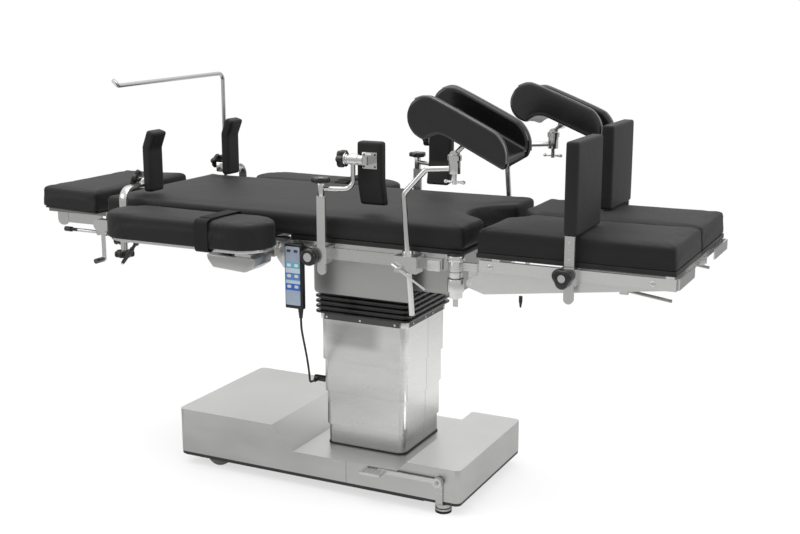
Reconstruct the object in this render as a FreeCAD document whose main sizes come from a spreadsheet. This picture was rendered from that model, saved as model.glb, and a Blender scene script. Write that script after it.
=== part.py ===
import FreeCAD, Part
import math
import os
import Sketcher
from FreeCAD import Placement, Rotation, Vector

# Operating table on a stepped base, in millimetres.
# X runs from the head end (minus) to the foot end (plus), Y from the near side to the far side.
# The origin lies on the floor under the middle of the table top.

SIZES = {
    # base cover, a folded sheet housing with a high block at each end
    "base_from": -472, "base_to": 411, "base_width": 444, "base_low": 38, "base_wall": 2.5,
    "head_block_top": 166, "head_block_end": -158, "deck_from": -89, "deck_top": 99,
    "deck_to": 230, "foot_block_from": 259, "foot_block_top": 129,
    "base_round": 16,
    # chassis under the cover
    "chassis_inset": 10, "chassis_plate": 8, "plate_inset": 1, "skirt_low": 24, "skirt_thick": 5, "skirt_to": 305,
    # rear wheels and the feet that lock the table in place
    "wheel_radius": 40, "wheel_width": 25, "wheel_x": -360, "wheel_y": 185, "axle_radius": 6,
    "wheel_gap": 5, "fork_thick": 5, "running_gap": 0.05,
    "foot_x": 355, "foot_radius": 22, "foot_disc": 5, "foot_groove": 1.5,
    "foot_stem": 8, "foot_top": 76, "foot_in": 26,
    # brake pedal on the near side
    "pedal_x": 355, "pedal_z": 94, "pedal_pin": 4, "pedal_barrel": 13, "pedal_arm_thick": 7,
    "pedal_arm_deep": 12, "tread_from": 138, "tread_to": 198, "tread_reach": 40, "tread_thick": 7,
    "bracket_wide": 20, "bracket_thick": 3, "bracket_gap": 1,
    # telescopic column
    "column_x": 80, "column_long": 238, "column_wide": 232, "cover_step": 4, "cover_wall": 1.6, "glide_band": 12,
    "column_round": 18, "cover_one_top": 260, "cover_two_low": 156, "cover_two_top": 356,
    "cover_three_low": 254, "cover_three_top": 440, "cover_four_low": 346, "cover_four_top": 474,
    "collar_low": 463, "collar_proud": 4, "head_plate": 6,
    "cylinder_radius": 45, "cylinder_top": 390, "ram_radius": 30, "ram_low": 135,
    # gimbal on top of the column
    "gimbal_z": 600, "gimbal_pin": 11, "cross_long": 40, "cross_wide": 50, "cross_deep": 20,
    "lug_thick": 14, "lug_gap": 13, "lug_half": 22,
    "tilt_plate_low": 668, "tilt_plate_thick": 12, "tilt_from": -10, "tilt_to": 366,
    "tilt_half_wide": 158, "tilt_low": 579, "tilt_wall": 3, "guide_y": 110, "guide_wide": 12,
    "guide_top": 694, "slide_gap": 0.3,
    # bellows between collar and tilt housing
    "bellows_long": 290, "bellows_wide": 280, "bellows_fold": 14.4, "bellows_folds": 5, "bellows_in": 9,
    # table top sections
    "top_half": 260, "hinge_x": -90, "hinge_z": 690, "frame_low": 664, "frame_top": 706,
    "cushion_low": 706, "cushion_top": 780, "beam_in": 234, "beam_out": 256, "back_beam_low": 672,
    "rail_in": 258, "rail_out": 268, "rail_low": 666, "rail_top": 694,
    "seat_from": -66, "seat_beam_to": 378, "seat_rail_to": 375, "seat_cushion_to": 430,
    "cross_bar": 30, "cross_bar_thick": 11.7, "seat_bar_two": 220, "cushion_round": 16,
    "notch_depth": 72, "notch_mouth": 116, "notch_floor": 56,
    "crease_from": -170, "crease_to": -10, "back_from": -672, "back_beam_from": -715,
    "back_rail_from": -640, "back_rail_to": -110, "back_bar_one": 90, "back_bar_two": 320,
    "back_bar_three": 60, "hinge_pin": 6, "hinge_eye": 16,
    "skirt_from": -26, "skirt_end": 259, "skirt_y": 200, "skirt_bottom": 555, "side_skirt_thick": 2,
    "side_skirt_round": 10,
    # leg hinge posts
    "post_x": 409, "post_y": 255, "post_pin": 8, "post_low": 596, "post_ear": 692,
    "ear_radius": 22, "lock_ring_low": 615, "lock_ring_top": 648, "lock_ring_radius": 20.5,
    "barrel_radius": 16, "barrel_low": 650, "barrel_top": 690,
    "yoke_in": 238, "yoke_out": 250, "yoke_arm_low": 668, "yoke_arm_top": 688, "yoke_hook": 441,
    "yoke_end": 463, "yoke_low": 623, "drop_x": 452, "drop_z": 640, "drop_pin": 6,
    "lock_lever_long": 105, "lock_lever_wide": 12, "lock_lever_thick": 5,
    # leg plates
    "leg_from": 463, "leg_to": 953, "leg_frame_to": 962, "leg_inner": 2, "leg_chamfer_long": 51, "leg_chamfer_wide": 74,
    "leg_frame_from": 473, "leg_plate_in": 258, "leg_plate_out": 262, "leg_plate_low": 617,
    "leg_plate_end_low": 677, "leg_rail_thick": 9, "leg_rail_low": 675, "leg_rail_top": 703,
    "leg_bar": 20, "leg_bar_deep": 20, "leg_bar_one": 505, "leg_bar_two": 700, "leg_bar_three": 928,
    "leg_end_inner": 112, "leg_lever_x": 820, "leg_lever_y": 200, "leg_lever_z": 650,
    "leg_lever_long": 112, "leg_lever_drop": 15, "leg_lever_radius": 4, "leg_eye_wall": 4, "leg_eye_half": 5,
    # head section
    "head_from": -962, "head_to": -735, "head_half": 197, "neck_half": 225, "head_low": 718,
    "head_board_low": 701, "head_board_top": 713, "head_hinge_x": -705, "head_hinge_z": 690,
    "head_barrel": 12, "head_bar_y": 182, "head_bar_wide": 10, "head_bar_low": 672, "head_bar_from": -876,
    "head_bar_top": 690, "head_tab_from": -917, "head_tab_to": -877, "head_tab_low": 663,
    "gear_x": -740, "gear_z": 656, "gear_half": 12, "gear_out": 6, "gear_in": 14,
    "release_x": -762, "release_z": 652, "release_lug": 8, "crank_pin": 5, "crank_arm": 80,
    "crank_arm_wide": 11, "crank_arm_thick": 6, "crank_grip": 36, "crank_grip_radius": 7.5,
    "release_long": 104, "release_drop": 9, "release_radius": 5, "release_grip": 7.5,
    "release_grip_long": 24,
    # arm boards
    "arm_x": -132, "arm_y": 363, "arm_half": 78, "arm_length": 426, "arm_low": 700, "arm_top": 772,
    "arm_plate": 8, "arm_pin": 7, "arm_shelf_low": 674, "arm_shelf_thick": 8,
    "arm_strip_wide": 18, "arm_strip_deep": 7,
    "arm_strip_from": 146, "arm_strip_to": 60,
    # shoulder supports and screen rod
    "shoulder_gap": 5, "shoulder_bar_wide": 24, "shoulder_bar_thick": 8, "shoulder_bar_y": 296,
    "shoulder_bar_z": 809, "shoulder_bend": 30, "shoulder_reach": 184, "shoulder_pad_thick": 28,
    "shoulder_pad_wide": 60, "shoulder_pad_low": 791, "shoulder_pad_bend": 912, "shoulder_pad_top": 965,
    "shoulder_pad_lean": 18, "screen_gap": 58, "screen_y": 285, "screen_top": 1092,
    "screen_reach": 508, "screen_radius": 6, "screen_low": 655, "screen_bend": 22, "screen_tip": 16,
    # lateral supports
    "lateral_x": 48, "lateral_y": 285, "lateral_bar_wide": 24, "lateral_bar_thick": 8,
    "lateral_low": 627, "lateral_bar_top": 831, "lateral_sleeve": 9, "lateral_sleeve_top": 868,
    "lateral_rod": 6, "lateral_rod_z": 850, "lateral_arm_x": 125, "lateral_arm_y": 256,
    "lateral_arm_top": 926, "lateral_bend": 24, "lateral_pad_x": 156, "lateral_pad_wide": 70,
    "lateral_pad_out": 230, "lateral_pad_thick": 30, "lateral_pad_low": 802,
    "lateral_pad_turned": 66, "lateral_pad_top": 969, "lateral_pad_lean": 16,
    "lateral_plate": 42, "lateral_plate_thick": 4, "knob_radius": 18, "knob_thick": 18,
    "star_radius": 17, "star_thick": 11,
    # knee crutches
    "crutch_near_x": 296, "crutch_far_x": 341, "crutch_y": 290, "crutch_z": 690, "crutch_lean": 4.3,
    "crutch_rod": 7, "crutch_down": 140, "crutch_up": 165, "crutch_rise": 64, "crutch_run": 60,
    "crutch_arm": 75, "crutch_bend": 22, "crutch_cup": 14, "crutch_cup_low": 12, "crutch_cup_top": 34,
    "crutch_barrel": 10, "crutch_barrel_half": 9, "crutch_stem": 6, "crutch_boss": 14,
    "crutch_screw": 26, "crutch_handle": 22, "tee_radius": 3, "tee_long": 105,
    "trough_y": 268, "trough_wide": 150, "trough_side": 22, "trough_floor": 20, "trough_deep": 70,
    "trough_long": 212, "trough_lobe": 54, "trough_lobe_back": 12, "trough_roll": 7,
    "trough_near_x": 376, "trough_near_z": 1034, "trough_near_slope": 26,
    "trough_far_x": 424, "trough_far_z": 1018, "trough_far_slope": 22, "trough_soft": 12,
    # foot boards
    "foot_board_near_x": 708, "foot_board_far_x": 676, "foot_bar_wide": 24, "foot_bar_thick": 8,
    "foot_bar_y": 281, "foot_bar_low": 622, "foot_pad_thick": 32, "foot_pad_in": 98,
    "foot_pad_out": 287, "foot_pad_low": 784, "foot_pad_top": 1003,
    # hand controller with its lead
    "handset_from": -62, "handset_to": -10, "handset_back": 271, "handset_front": 292,
    "handset_low": 528, "handset_top": 700, "handset_round": 5, "relief_radius": 5, "relief_long": 22,
    "cord_radius": 3, "socket_y": -86, "socket_z": 274, "socket_radius": 11, "socket_proud": 7,
    "plug_radius": 9, "plug_long": 40, "plug_exit_x": -82, "plug_exit_radius": 6, "plug_exit_long": 17,
}

doc = FreeCAD.newDocument("OperatingTable")
sheet = doc.addObject("Spreadsheet::Sheet", "Sizes")
for row, (alias, value) in enumerate(SIZES.items(), 1):
    sheet.set("A%d" % row, alias)
    sheet.set("B%d" % row, str(value))
    sheet.setAlias("B%d" % row, alias)
doc.recompute()


class Dim:
    """A length from the size sheet, with the formula that ties it to the sheet."""

    def __init__(self, value, text):
        self.value = float(value)
        self.text = text

    def _join(self, other, sign, value, swap=False):
        left, right = (other, self) if swap else (self, other)
        return Dim(value, "(%s %s %s)" % (text_of(left), sign, text_of(right)))

    def __add__(self, other):
        return self._join(other, "+", self.value + number(other))

    def __radd__(self, other):
        return self._join(other, "+", self.value + number(other), True)

    def __sub__(self, other):
        return self._join(other, "-", self.value - number(other))

    def __rsub__(self, other):
        return self._join(other, "-", number(other) - self.value, True)

    def __mul__(self, other):
        return self._join(other, "*", self.value * number(other))

    def __rmul__(self, other):
        return self._join(other, "*", self.value * number(other), True)

    def __truediv__(self, other):
        return self._join(other, "/", self.value / number(other))

    def __neg__(self):
        return self * -1


def text_of(length):
    return length.text if isinstance(length, Dim) else repr(length)


def number(length):
    return length.value if isinstance(length, Dim) else float(length)


class Sheet:
    """The size sheet's cells as attributes, each a Dim."""


S = Sheet()
for alias in SIZES:
    setattr(S, alias, Dim(sheet.get(alias), "Sizes." + alias))

S.shoulder_x = S.arm_x - S.arm_length - S.shoulder_bar_wide / 2 - S.shoulder_gap
S.screen_x = S.shoulder_x - S.screen_gap

NEAR, FAR = -1, 1
SIDES = {"near": NEAR, "far": FAR}
nodes = {}


def bind(thing, **lengths):
    for name, length in lengths.items():
        setattr(thing, name, number(length))
        if isinstance(length, Dim):
            thing.setExpression(name, length.text)


def put(thing, x, y, z, turn=None):
    thing.Placement = Placement(Vector(number(x), number(y), number(z)), turn or Rotation())
    for axis, length in zip("xyz", (x, y, z)):
        if isinstance(length, Dim):
            thing.setExpression("Placement.Base." + axis, length.text)
    return thing


def block(x, y, z):
    """A box between two planes on each axis."""
    box = doc.addObject("Part::Box", "Block")
    bind(box, Length=x[1] - x[0], Width=y[1] - y[0], Height=z[1] - z[0])
    return put(box, x[0], y[0], z[0])


TURNS = {"x": Rotation(Vector(0, 1, 0), 90), "y": Rotation(Vector(1, 0, 0), -90), "z": Rotation()}


def bar(axis, centre, radius, span):
    """A round bar along one axis, with its centre on the two others in order."""
    rod = doc.addObject("Part::Cylinder", "Bar")
    bind(rod, Radius=radius, Height=span[1] - span[0])
    place = list(centre)
    place.insert("xyz".index(axis), span[0])
    return put(rod, place[0], place[1], place[2], TURNS[axis])


def across(side, inner, outer):
    """The span from inner to outer on one side of the table's middle."""
    return (-outer, -inner) if side < 0 else (inner, outer)


def fused(*parts):
    joined = doc.addObject("Part::MultiFuse", "Joined")
    joined.Shapes = list(parts)
    joined.Refine = True
    return joined


def cut(base, *tools):
    hollow = doc.addObject("Part::Cut", "Hollow")
    hollow.Base = base
    hollow.Tool = tools[0] if len(tools) == 1 else fused(*tools)
    hollow.Refine = True
    return hollow


def group(*parts):
    """Separate solids kept together as one set."""
    compound = doc.addObject("Part::Compound", "Set")
    compound.Links = list(parts)
    return compound


def rounded(base, radius, pick):
    """Rounds the edges of base that pick accepts."""
    doc.recompute()
    soft = doc.addObject("Part::Fillet", "Rounded")
    soft.Base = base
    size = number(radius)
    soft.Edges = [(i, size, size) for i, edge in enumerate(base.Shape.Edges, 1) if pick(edge)]
    return soft


def keep(node, thing):
    thing.Label = node
    nodes[node] = thing
    return thing


def direction(edge):
    span = edge.valueAt(edge.LastParameter) - edge.valueAt(edge.FirstParameter)
    return span.normalize() if span.Length > 1e-6 else Vector(0, 0, 0)


def upright(edge):
    return edge.Curve.TypeId == "Part::GeomLine" and abs(direction(edge).z) > 0.99


def new_body(node):
    return keep(node, doc.addObject("PartDesign::Body", node.title().replace("_", "")))


def arc_between(start, middle, end):
    """An anticlockwise arc through three points, and whether it runs from start to end."""
    circle = Part.Arc(start, middle, end).toShape().Curve
    ahead = (middle - start).cross(end - middle).z > 0
    first, last = (start, end) if ahead else (end, start)
    angles = [math.atan2(p.y - circle.Center.y, p.x - circle.Center.x) for p in (first, last)]
    if angles[1] < angles[0]:
        angles[1] += 2 * math.pi
    flat = Part.Circle(circle.Center, Vector(0, 0, 1), circle.Radius)
    return Part.ArcOfCircle(flat, angles[0], angles[1]), ahead


def outline(body, plane, offset, corners):
    """A closed sketch. A corner of four values is reached by an arc through the last two."""
    sketch = body.newObject("Sketcher::SketchObject", "Outline")
    origin = [item for item in body.Origin.OriginFeatures if item.Role == plane][0]
    sketch.AttachmentSupport = [(origin, "")]
    sketch.MapMode = "FlatFace"
    away = -offset if plane == "XZ_Plane" else offset
    sketch.AttachmentOffset = Placement(Vector(0, 0, number(away)), Rotation())
    if isinstance(away, Dim):
        sketch.setExpression("AttachmentOffset.Base.z", away.text)
    points = [Vector(number(c[0]), number(c[1]), 0) for c in corners]
    ends = []
    for i, corner in enumerate(corners):
        start = points[i - 1]
        if len(corner) == 2:
            sketch.addGeometry(Part.LineSegment(start, points[i]), False)
            ends.append((1, 2))
            continue
        middle = Vector(number(corner[2]), number(corner[3]), 0)
        arc, ahead = arc_between(start, middle, points[i])
        sketch.addGeometry(arc, False)
        ends.append((1, 2) if ahead else (2, 1))
        flat = abs(points[i].x - start.x) > abs(points[i].y - start.y)
        kind, place = ("DistanceY", arc.Center.y) if flat else ("DistanceX", arc.Center.x)
        sketch.addConstraint(Sketcher.Constraint(kind, -1, 1, i, 3, place))
    for i, corner in enumerate(corners):
        after = (i + 1) % len(corners)
        sketch.addConstraint(Sketcher.Constraint("Coincident", i, ends[i][1], after, ends[after][0]))
        for kind, length in (("DistanceX", corner[0]), ("DistanceY", corner[1])):
            rule = Sketcher.Constraint(kind, -1, 1, i, ends[i][1], number(length))
            index = sketch.addConstraint(rule)
            if isinstance(length, Dim):
                sketch.setExpression("Constraints[%d]" % index, length.text)
    return sketch


def pad(body, sketch, length):
    """Thickens a sketch to both sides of its plane."""
    feature = body.newObject("PartDesign::Pad", "Pad")
    feature.Profile = sketch
    feature.Midplane = True
    bind(feature, Length=length)
    doc.recompute()
    return feature


def pocket(body, sketch, length):
    """Cuts a sketch out to both sides of its plane."""
    before = body.Shape.Volume
    feature = body.newObject("PartDesign::Pocket", "Pocket")
    feature.Profile = sketch
    feature.Midplane = True
    bind(feature, Length=length)
    doc.recompute()
    if body.Shape.Volume > before - 1:
        raise ValueError("a pocket in %s cuts nothing" % body.Label)
    return feature


def soften(body, base, radius, pick):
    """Rounds the edges of a body's last feature that pick accepts."""
    feature = body.newObject("PartDesign::Fillet", "Soft")
    names = ["Edge%d" % i for i, edge in enumerate(base.Shape.Edges, 1) if pick(edge)]
    feature.Base = (base, names)
    bind(feature, Radius=radius)
    doc.recompute()
    return feature


def revolve(body, sketch):
    """Turns a sketch on the XZ plane about the body's Z axis."""
    feature = body.newObject("PartDesign::Revolution", "Turned")
    feature.Profile = sketch
    feature.ReferenceAxis = (sketch, ["V_Axis"])
    doc.recompute()
    return feature


def bent_path(points, bend):
    """Straight runs joined by tangent arcs, with bend giving each corner's radius."""
    edges = []
    here = points[0]
    for before, corner, after in zip(points, points[1:], points[2:]):
        back = (before - corner).normalize()
        ahead = (after - corner).normalize()
        turn = math.pi - back.getAngle(ahead)
        radius = bend(before, corner, after, turn)
        reach = radius * math.tan(turn / 2)
        start = corner + back * reach
        end = corner + ahead * reach
        centre = corner + (back + ahead).normalize() * (radius / math.cos(turn / 2))
        middle = centre + (corner - centre).normalize() * radius
        edges.append(Part.LineSegment(here, start).toShape())
        edges.append(Part.Arc(start, middle, end).toShape())
        here = end
    edges.append(Part.LineSegment(here, points[-1]).toShape())
    return Part.Wire(edges)


def round_bar(points, radius, bend):
    """A bent round bar along points, as a shape."""
    path = bent_path(points, bend)
    start = points[1] - points[0]
    ring = Part.Wire([Part.makeCircle(radius, points[0], start)])
    return path.makePipeShell([ring], True, False), path.Length


def steady(radius):
    return lambda before, corner, after, turn: radius


def loose(before, corner, after, turn):
    run = min((corner - before).Length, (after - corner).Length)
    return 0.45 * run / math.tan(turn / 2)


def shaped(node, shape):
    feature = doc.addObject("Part::Feature", node.title().replace("_", ""))
    feature.Shape = shape
    feature.Placement = Placement()
    return keep(node, feature) if node else feature


# Base


def base_profile(wall):
    """The base's side outline, shrunk by the sheet's thickness."""
    return [(S.base_from + wall, S.base_low), (S.base_to - wall, S.base_low),
            (S.base_to - wall, S.foot_block_top - wall),
            (S.foot_block_from + wall / 2, S.foot_block_top - wall),
            (S.deck_to + wall / 2, S.deck_top - wall), (S.deck_from - wall / 2, S.deck_top - wall),
            (S.head_block_end - wall / 2, S.head_block_top - wall),
            (S.base_from + wall, S.head_block_top - wall)]


def base_cover():
    """Folded sheet housing: high block over the wheels, low deck, foot block."""
    shells = []
    for wall, width in ((0 * S.base_wall, S.base_width), (S.base_wall, S.base_width - 2 * S.base_wall)):
        body = doc.addObject("PartDesign::Body", "Housing")
        solid = pad(body, outline(body, "XZ_Plane", 0, base_profile(wall)), width)
        ends = (number(S.base_from + wall), number(S.base_to - wall))

        def end_corner(edge, ends=ends):
            return upright(edge) and min(abs(edge.CenterOfMass.x - end) for end in ends) < 1
        soften(body, solid, S.base_round - wall, end_corner)
        shells.append(body)
    half = S.column_long / 2 - S.base_wall * 4
    wide = S.column_wide / 2 - S.base_wall * 4
    hole = block((S.column_x - half, S.column_x + half), (-wide, wide), (S.deck_top - 10, S.deck_top + 10))
    keep("base_cover", cut(shells[0], shells[1], hole))


def base_chassis():
    """Steel plate with wheel wells, forks and axles, rubber strips, foot guides, pedal bracket."""
    inset = S.chassis_inset
    half = S.base_width / 2 - inset
    low = S.base_low - S.chassis_plate
    edge = S.base_width / 2 - S.plate_inset
    plate = block((S.base_from + S.plate_inset, S.base_to - S.plate_inset), (-edge, edge), (low, S.base_low))
    parts = [rounded(plate, S.base_round - S.plate_inset, upright)]
    holes = []
    for side in SIDES.values():
        inner = across(side, half - S.skirt_thick, half)
        parts.append(block((S.base_from + inset, S.skirt_to), inner, (S.skirt_low, low)))
        well = S.wheel_radius + S.wheel_gap
        span = (side * S.wheel_y - S.wheel_width / 2 - S.wheel_gap,
                side * S.wheel_y + S.wheel_width / 2 + S.wheel_gap)
        holes.append(block((S.wheel_x - well, S.wheel_x + well), span, (low - 1, S.base_low + 1)))
        for wall in (span[0] - S.fork_thick, span[1]):
            cheek = block((S.wheel_x - 2 * S.axle_radius, S.wheel_x + 2 * S.axle_radius),
                          (wall, wall + S.fork_thick), (low, S.wheel_radius + 2 * S.axle_radius))
            parts.append(cheek)
        parts.append(bar("y", (S.wheel_x, S.wheel_radius), S.axle_radius,
                         (span[0] - S.fork_thick, span[1] + S.fork_thick)))
        guide = S.foot_stem + 6
        parts.append(bar("z", (S.foot_x, side * (S.base_width / 2 - S.foot_in)), guide, (low, S.foot_top - 16)))
        holes.append(bar("z", (S.foot_x, side * (S.base_width / 2 - S.foot_in)), S.foot_stem + S.running_gap, (low - 1, S.foot_top)))
    face = S.base_width / 2 + S.bracket_gap
    plate = (-face - S.bracket_thick, -face)
    wide = (S.pedal_x - S.bracket_wide / 2, S.pedal_x + S.bracket_wide / 2)
    parts.append(block(wide, (-face - S.bracket_thick, -half), (low, S.base_low - 1)))
    parts.append(block(wide, plate, (low, S.pedal_z + S.bracket_wide / 2)))
    parts.append(bar("y", (S.pedal_x, S.pedal_z), S.pedal_pin, (-(S.base_width / 2 + S.tread_reach) + 12, plate[1])))
    keep("base_chassis", cut(fused(*parts), *holes))


def wheels():
    """Two wheels with rounded treads on the two axles."""
    tyres = []
    half = S.wheel_width / 2
    rim = S.wheel_radius
    hub = S.axle_radius + S.running_gap
    crown = S.wheel_radius - 3
    for side in SIDES.values():
        body = doc.addObject("PartDesign::Body", "Tyre")
        corners = [(hub, -half), (crown, -half), (crown, half, rim, 0), (hub, half)]
        revolve(body, outline(body, "XZ_Plane", 0, corners))
        tyres.append(put(body, S.wheel_x, side * S.wheel_y, S.wheel_radius, Rotation(Vector(1, 0, 0), 90)))
    keep("wheels", group(*tyres))


def lock_feet():
    """Two ribbed feet on stems, pressed to the floor by the pedal."""
    feet = []
    for side in SIDES.values():
        centre = (S.foot_x, side * (S.base_width / 2 - S.foot_in))
        step = S.foot_disc
        discs = [bar("z", centre, S.foot_radius - S.foot_groove * (i % 2), (step * i, step * (i + 1)))
                 for i in range(5)]
        feet.append(fused(*discs, bar("z", centre, S.foot_stem, (0, S.foot_top))))
    keep("lock_feet", group(*feet))


def brake_pedal():
    """Flat lever along the near face with a ribbed tread at its free end."""
    face = S.base_width / 2 + S.bracket_gap + S.bracket_thick + 1
    thick = (-face - S.pedal_arm_thick, -face)
    low = S.pedal_z - S.pedal_arm_deep / 2
    arm = block((S.tread_to - 20, S.pedal_x), thick, (low, low + S.pedal_arm_deep))
    barrel = bar("y", (S.pedal_x, S.pedal_z), S.pedal_barrel, (-face - 16, -face))
    tread = block((S.tread_from, S.tread_to), (-(S.base_width / 2 + S.tread_reach), -face), (low, low + S.tread_thick))
    ribs = [block((S.tread_from + 6 + 12 * i, S.tread_from + 10 + 12 * i), (-(S.base_width / 2 + S.tread_reach), -face),
                  (low + S.tread_thick, low + S.tread_thick + 2)) for i in range(5)]
    hole = bar("y", (S.pedal_x, S.pedal_z), S.pedal_pin + S.running_gap, (-(S.base_width / 2 + S.tread_reach), 0 - face + 1))
    keep("brake_pedal", cut(fused(arm, barrel, tread, *ribs), hole))


# Column


def cover_tube(node, step, low, top):
    """One telescopic cover, each a step larger than the one below it, with a glide band at its foot."""
    half_x = S.column_long / 2 + S.cover_step * step
    half_y = S.column_wide / 2 + S.cover_step * step
    wall = S.cover_wall
    outer = block((S.column_x - half_x, S.column_x + half_x), (-half_y, half_y), (low, top))
    inner = block((S.column_x - half_x + wall, S.column_x + half_x - wall),
                  (-half_y + wall, half_y - wall), (low - 1, top + 1))
    tube = cut(rounded(outer, S.column_round, upright), rounded(inner, S.column_round - wall, upright))
    if step:
        glide = S.cover_step - S.slide_gap
        band = block((S.column_x - half_x + wall / 2, S.column_x + half_x - wall / 2),
                     (-half_y + wall / 2, half_y - wall / 2), (low, low + S.glide_band))
        space = block((S.column_x - half_x + glide, S.column_x + half_x - glide),
                      (-half_y + glide, half_y - glide), (low - 1, low + S.glide_band + 1))
        tube = fused(tube, cut(rounded(band, S.column_round - wall / 2, upright),
                               rounded(space, S.column_round - glide, upright)))
    keep(node, tube)


def column_covers():
    cover_tube("column_cover_low", 0, S.deck_top, S.cover_one_top)
    cover_tube("column_cover_second", 1, S.cover_two_low, S.cover_two_top)
    cover_tube("column_cover_third", 2, S.cover_three_low, S.cover_three_top)
    cover_tube("column_cover_top", 3, S.cover_four_low, S.cover_four_top)


def column_collar():
    """Ring and head plate on the top cover, with the two ears that carry the gimbal."""
    half_x = S.column_long / 2 + S.cover_step * 3
    half_y = S.column_wide / 2 + S.cover_step * 3
    proud = S.collar_proud
    top = S.cover_four_top + S.head_plate
    outer = rounded(block((S.column_x - half_x - proud, S.column_x + half_x + proud),
                          (-half_y - proud, half_y + proud), (S.collar_low, top)),
                    S.column_round + proud, upright)
    inner = rounded(block((S.column_x - half_x, S.column_x + half_x), (-half_y, half_y),
                          (S.collar_low - 1, S.cover_four_top)), S.column_round, upright)
    ears = []
    holes = []
    for side in SIDES.values():
        start = S.cross_wide + S.lug_gap
        span = across(side, start, start + S.lug_thick)
        ears.append(block((S.column_x - S.lug_half, S.column_x + S.lug_half), span, (top, S.gimbal_z)))
        ears.append(bar("y", (S.column_x, S.gimbal_z), S.lug_half, span))
        holes.append(bar("y", (S.column_x, S.gimbal_z), S.gimbal_pin + S.running_gap, span))
    keep("column_collar", cut(fused(cut(outer, inner), *ears), *holes))


def lift_ram_and_cylinder():
    bore = bar("z", (S.column_x, 0), S.ram_radius + S.running_gap,
               (S.base_low + 12, S.cylinder_top + 1))
    keep("lift_cylinder", cut(bar("z", (S.column_x, 0), S.cylinder_radius,
                                  (S.base_low, S.cylinder_top)), bore))
    keep("lift_ram", bar("z", (S.column_x, 0), S.ram_radius, (S.ram_low, S.cover_four_top)))


def column_bellows():
    """Rubber bellows that hides the gimbal's ears."""
    start = S.cover_four_top + S.head_plate
    rings = []
    holes = []
    for i in range(int(number(S.bellows_folds))):
        low = start + S.bellows_fold * i
        for inset, part in ((0, 0), (S.bellows_in, 1)):
            half_x = S.bellows_long / 2 - inset
            half_y = S.bellows_wide / 2 - inset
            ring = block((S.column_x - half_x, S.column_x + half_x), (-half_y, half_y),
                         (low + S.bellows_fold * part / 2, low + S.bellows_fold * (part + 1) / 2))
            rings.append(rounded(ring, S.column_round, upright))
    half_x = S.bellows_long / 2 - S.bellows_in * 2
    half_y = S.bellows_wide / 2 - S.bellows_in * 2
    holes.append(block((S.column_x - half_x, S.column_x + half_x), (-half_y, half_y),
                       (start - 1, start + S.bellows_fold * S.bellows_folds + 1)))
    keep("column_bellows", cut(fused(*rings), *holes))


def pitch_yoke():
    """Cross piece with two trunnions across the table and two along it."""
    x, z = S.column_x, S.gimbal_z
    core = block((x - S.cross_long, x + S.cross_long), (-S.cross_wide, S.cross_wide),
                 (z - S.cross_deep, z + S.cross_deep))
    reach_y = S.cross_wide + S.lug_gap + S.lug_thick
    reach_x = S.cross_long + S.lug_gap + S.lug_thick
    keep("pitch_yoke", fused(core, bar("y", (x, z), S.gimbal_pin, (-reach_y, reach_y)),
                             bar("x", (0, z), S.gimbal_pin, (x - reach_x, x + reach_x))))


def tilt_frame():
    """Plate on the cross piece with side panels, an end panel and two slide bars on top."""
    top = S.tilt_plate_low + S.tilt_plate_thick
    wide = S.tilt_half_wide
    parts = [block((S.tilt_from, S.tilt_to), (-wide, wide), (S.tilt_plate_low, top)),
             block((S.tilt_to - S.tilt_wall, S.tilt_to), (-wide, wide), (S.tilt_low, top))]
    for side in SIDES.values():
        parts.append(block((S.tilt_from, S.tilt_to), across(side, wide - S.tilt_wall, wide), (S.tilt_low, top)))
        span = across(side, S.guide_y - S.guide_wide / 2, S.guide_y + S.guide_wide / 2)
        parts.append(block((S.tilt_from, S.tilt_to), span, (top, S.guide_top)))
    holes = []
    for end in (-1, 1):
        start = S.cross_long + S.lug_gap
        low, high = across(end, start, start + S.lug_thick)
        span = (S.column_x + low, S.column_x + high)
        parts.append(block(span, (-S.lug_half, S.lug_half), (S.gimbal_z, S.tilt_plate_low)))
        parts.append(bar("x", (0, S.gimbal_z), S.lug_half, span))
        holes.append(bar("x", (0, S.gimbal_z), S.gimbal_pin + S.running_gap, span))
    keep("tilt_frame", cut(fused(*parts), *holes))


# Seat section


def seat_frame():
    """Side beams, cross bars and rails, with hinge pins for the back and posts for the legs."""
    parts = []
    bar_low = S.frame_top - S.cross_bar_thick
    for start in (S.seat_from, S.seat_from + S.seat_bar_two, S.seat_beam_to - S.cross_bar):
        parts.append(block((start, start + S.cross_bar), (-S.beam_in, S.beam_in), (bar_low, S.frame_top)))
    for side in SIDES.values():
        parts.append(block((S.seat_from, S.seat_beam_to), across(side, S.beam_in, S.beam_out),
                           (S.frame_low, S.frame_top)))
        lug = across(side, S.beam_in - 8, S.beam_in)
        parts.append(block((S.hinge_x - S.hinge_eye, S.seat_from + 40), lug,
                           (S.back_beam_low, S.frame_top)))
        parts.append(bar("y", (S.hinge_x, S.hinge_z), S.hinge_pin, across(side, S.beam_in, S.beam_out)))
        parts.append(block((S.seat_from, S.seat_rail_to), across(side, S.rail_in, S.rail_out),
                           (S.rail_low, S.rail_top)))
        for x in (S.seat_from + 20, S.seat_rail_to - 30):
            parts.append(block((x, x + 16), across(side, S.beam_out, S.rail_in), (S.rail_low + 6, S.rail_top - 6)))
        ear = (S.post_ear, S.frame_top)
        centre = (S.post_x, side * S.post_y)
        parts.append(block((S.seat_beam_to - 20, S.post_x), across(side, S.beam_in, S.beam_out), ear))
        parts.append(bar("z", centre, S.ear_radius, ear))
        parts.append(bar("z", centre, S.post_pin, (S.post_low, S.post_ear)))
        parts.append(bar("z", centre, S.lock_ring_radius, (S.lock_ring_low, S.lock_ring_top)))
        parts.append(bar("z", centre, S.barrel_radius + 1, (S.post_low + 4, S.lock_ring_low)))
    keep("seat_frame", fused(*parts, *post_levers()))


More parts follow.
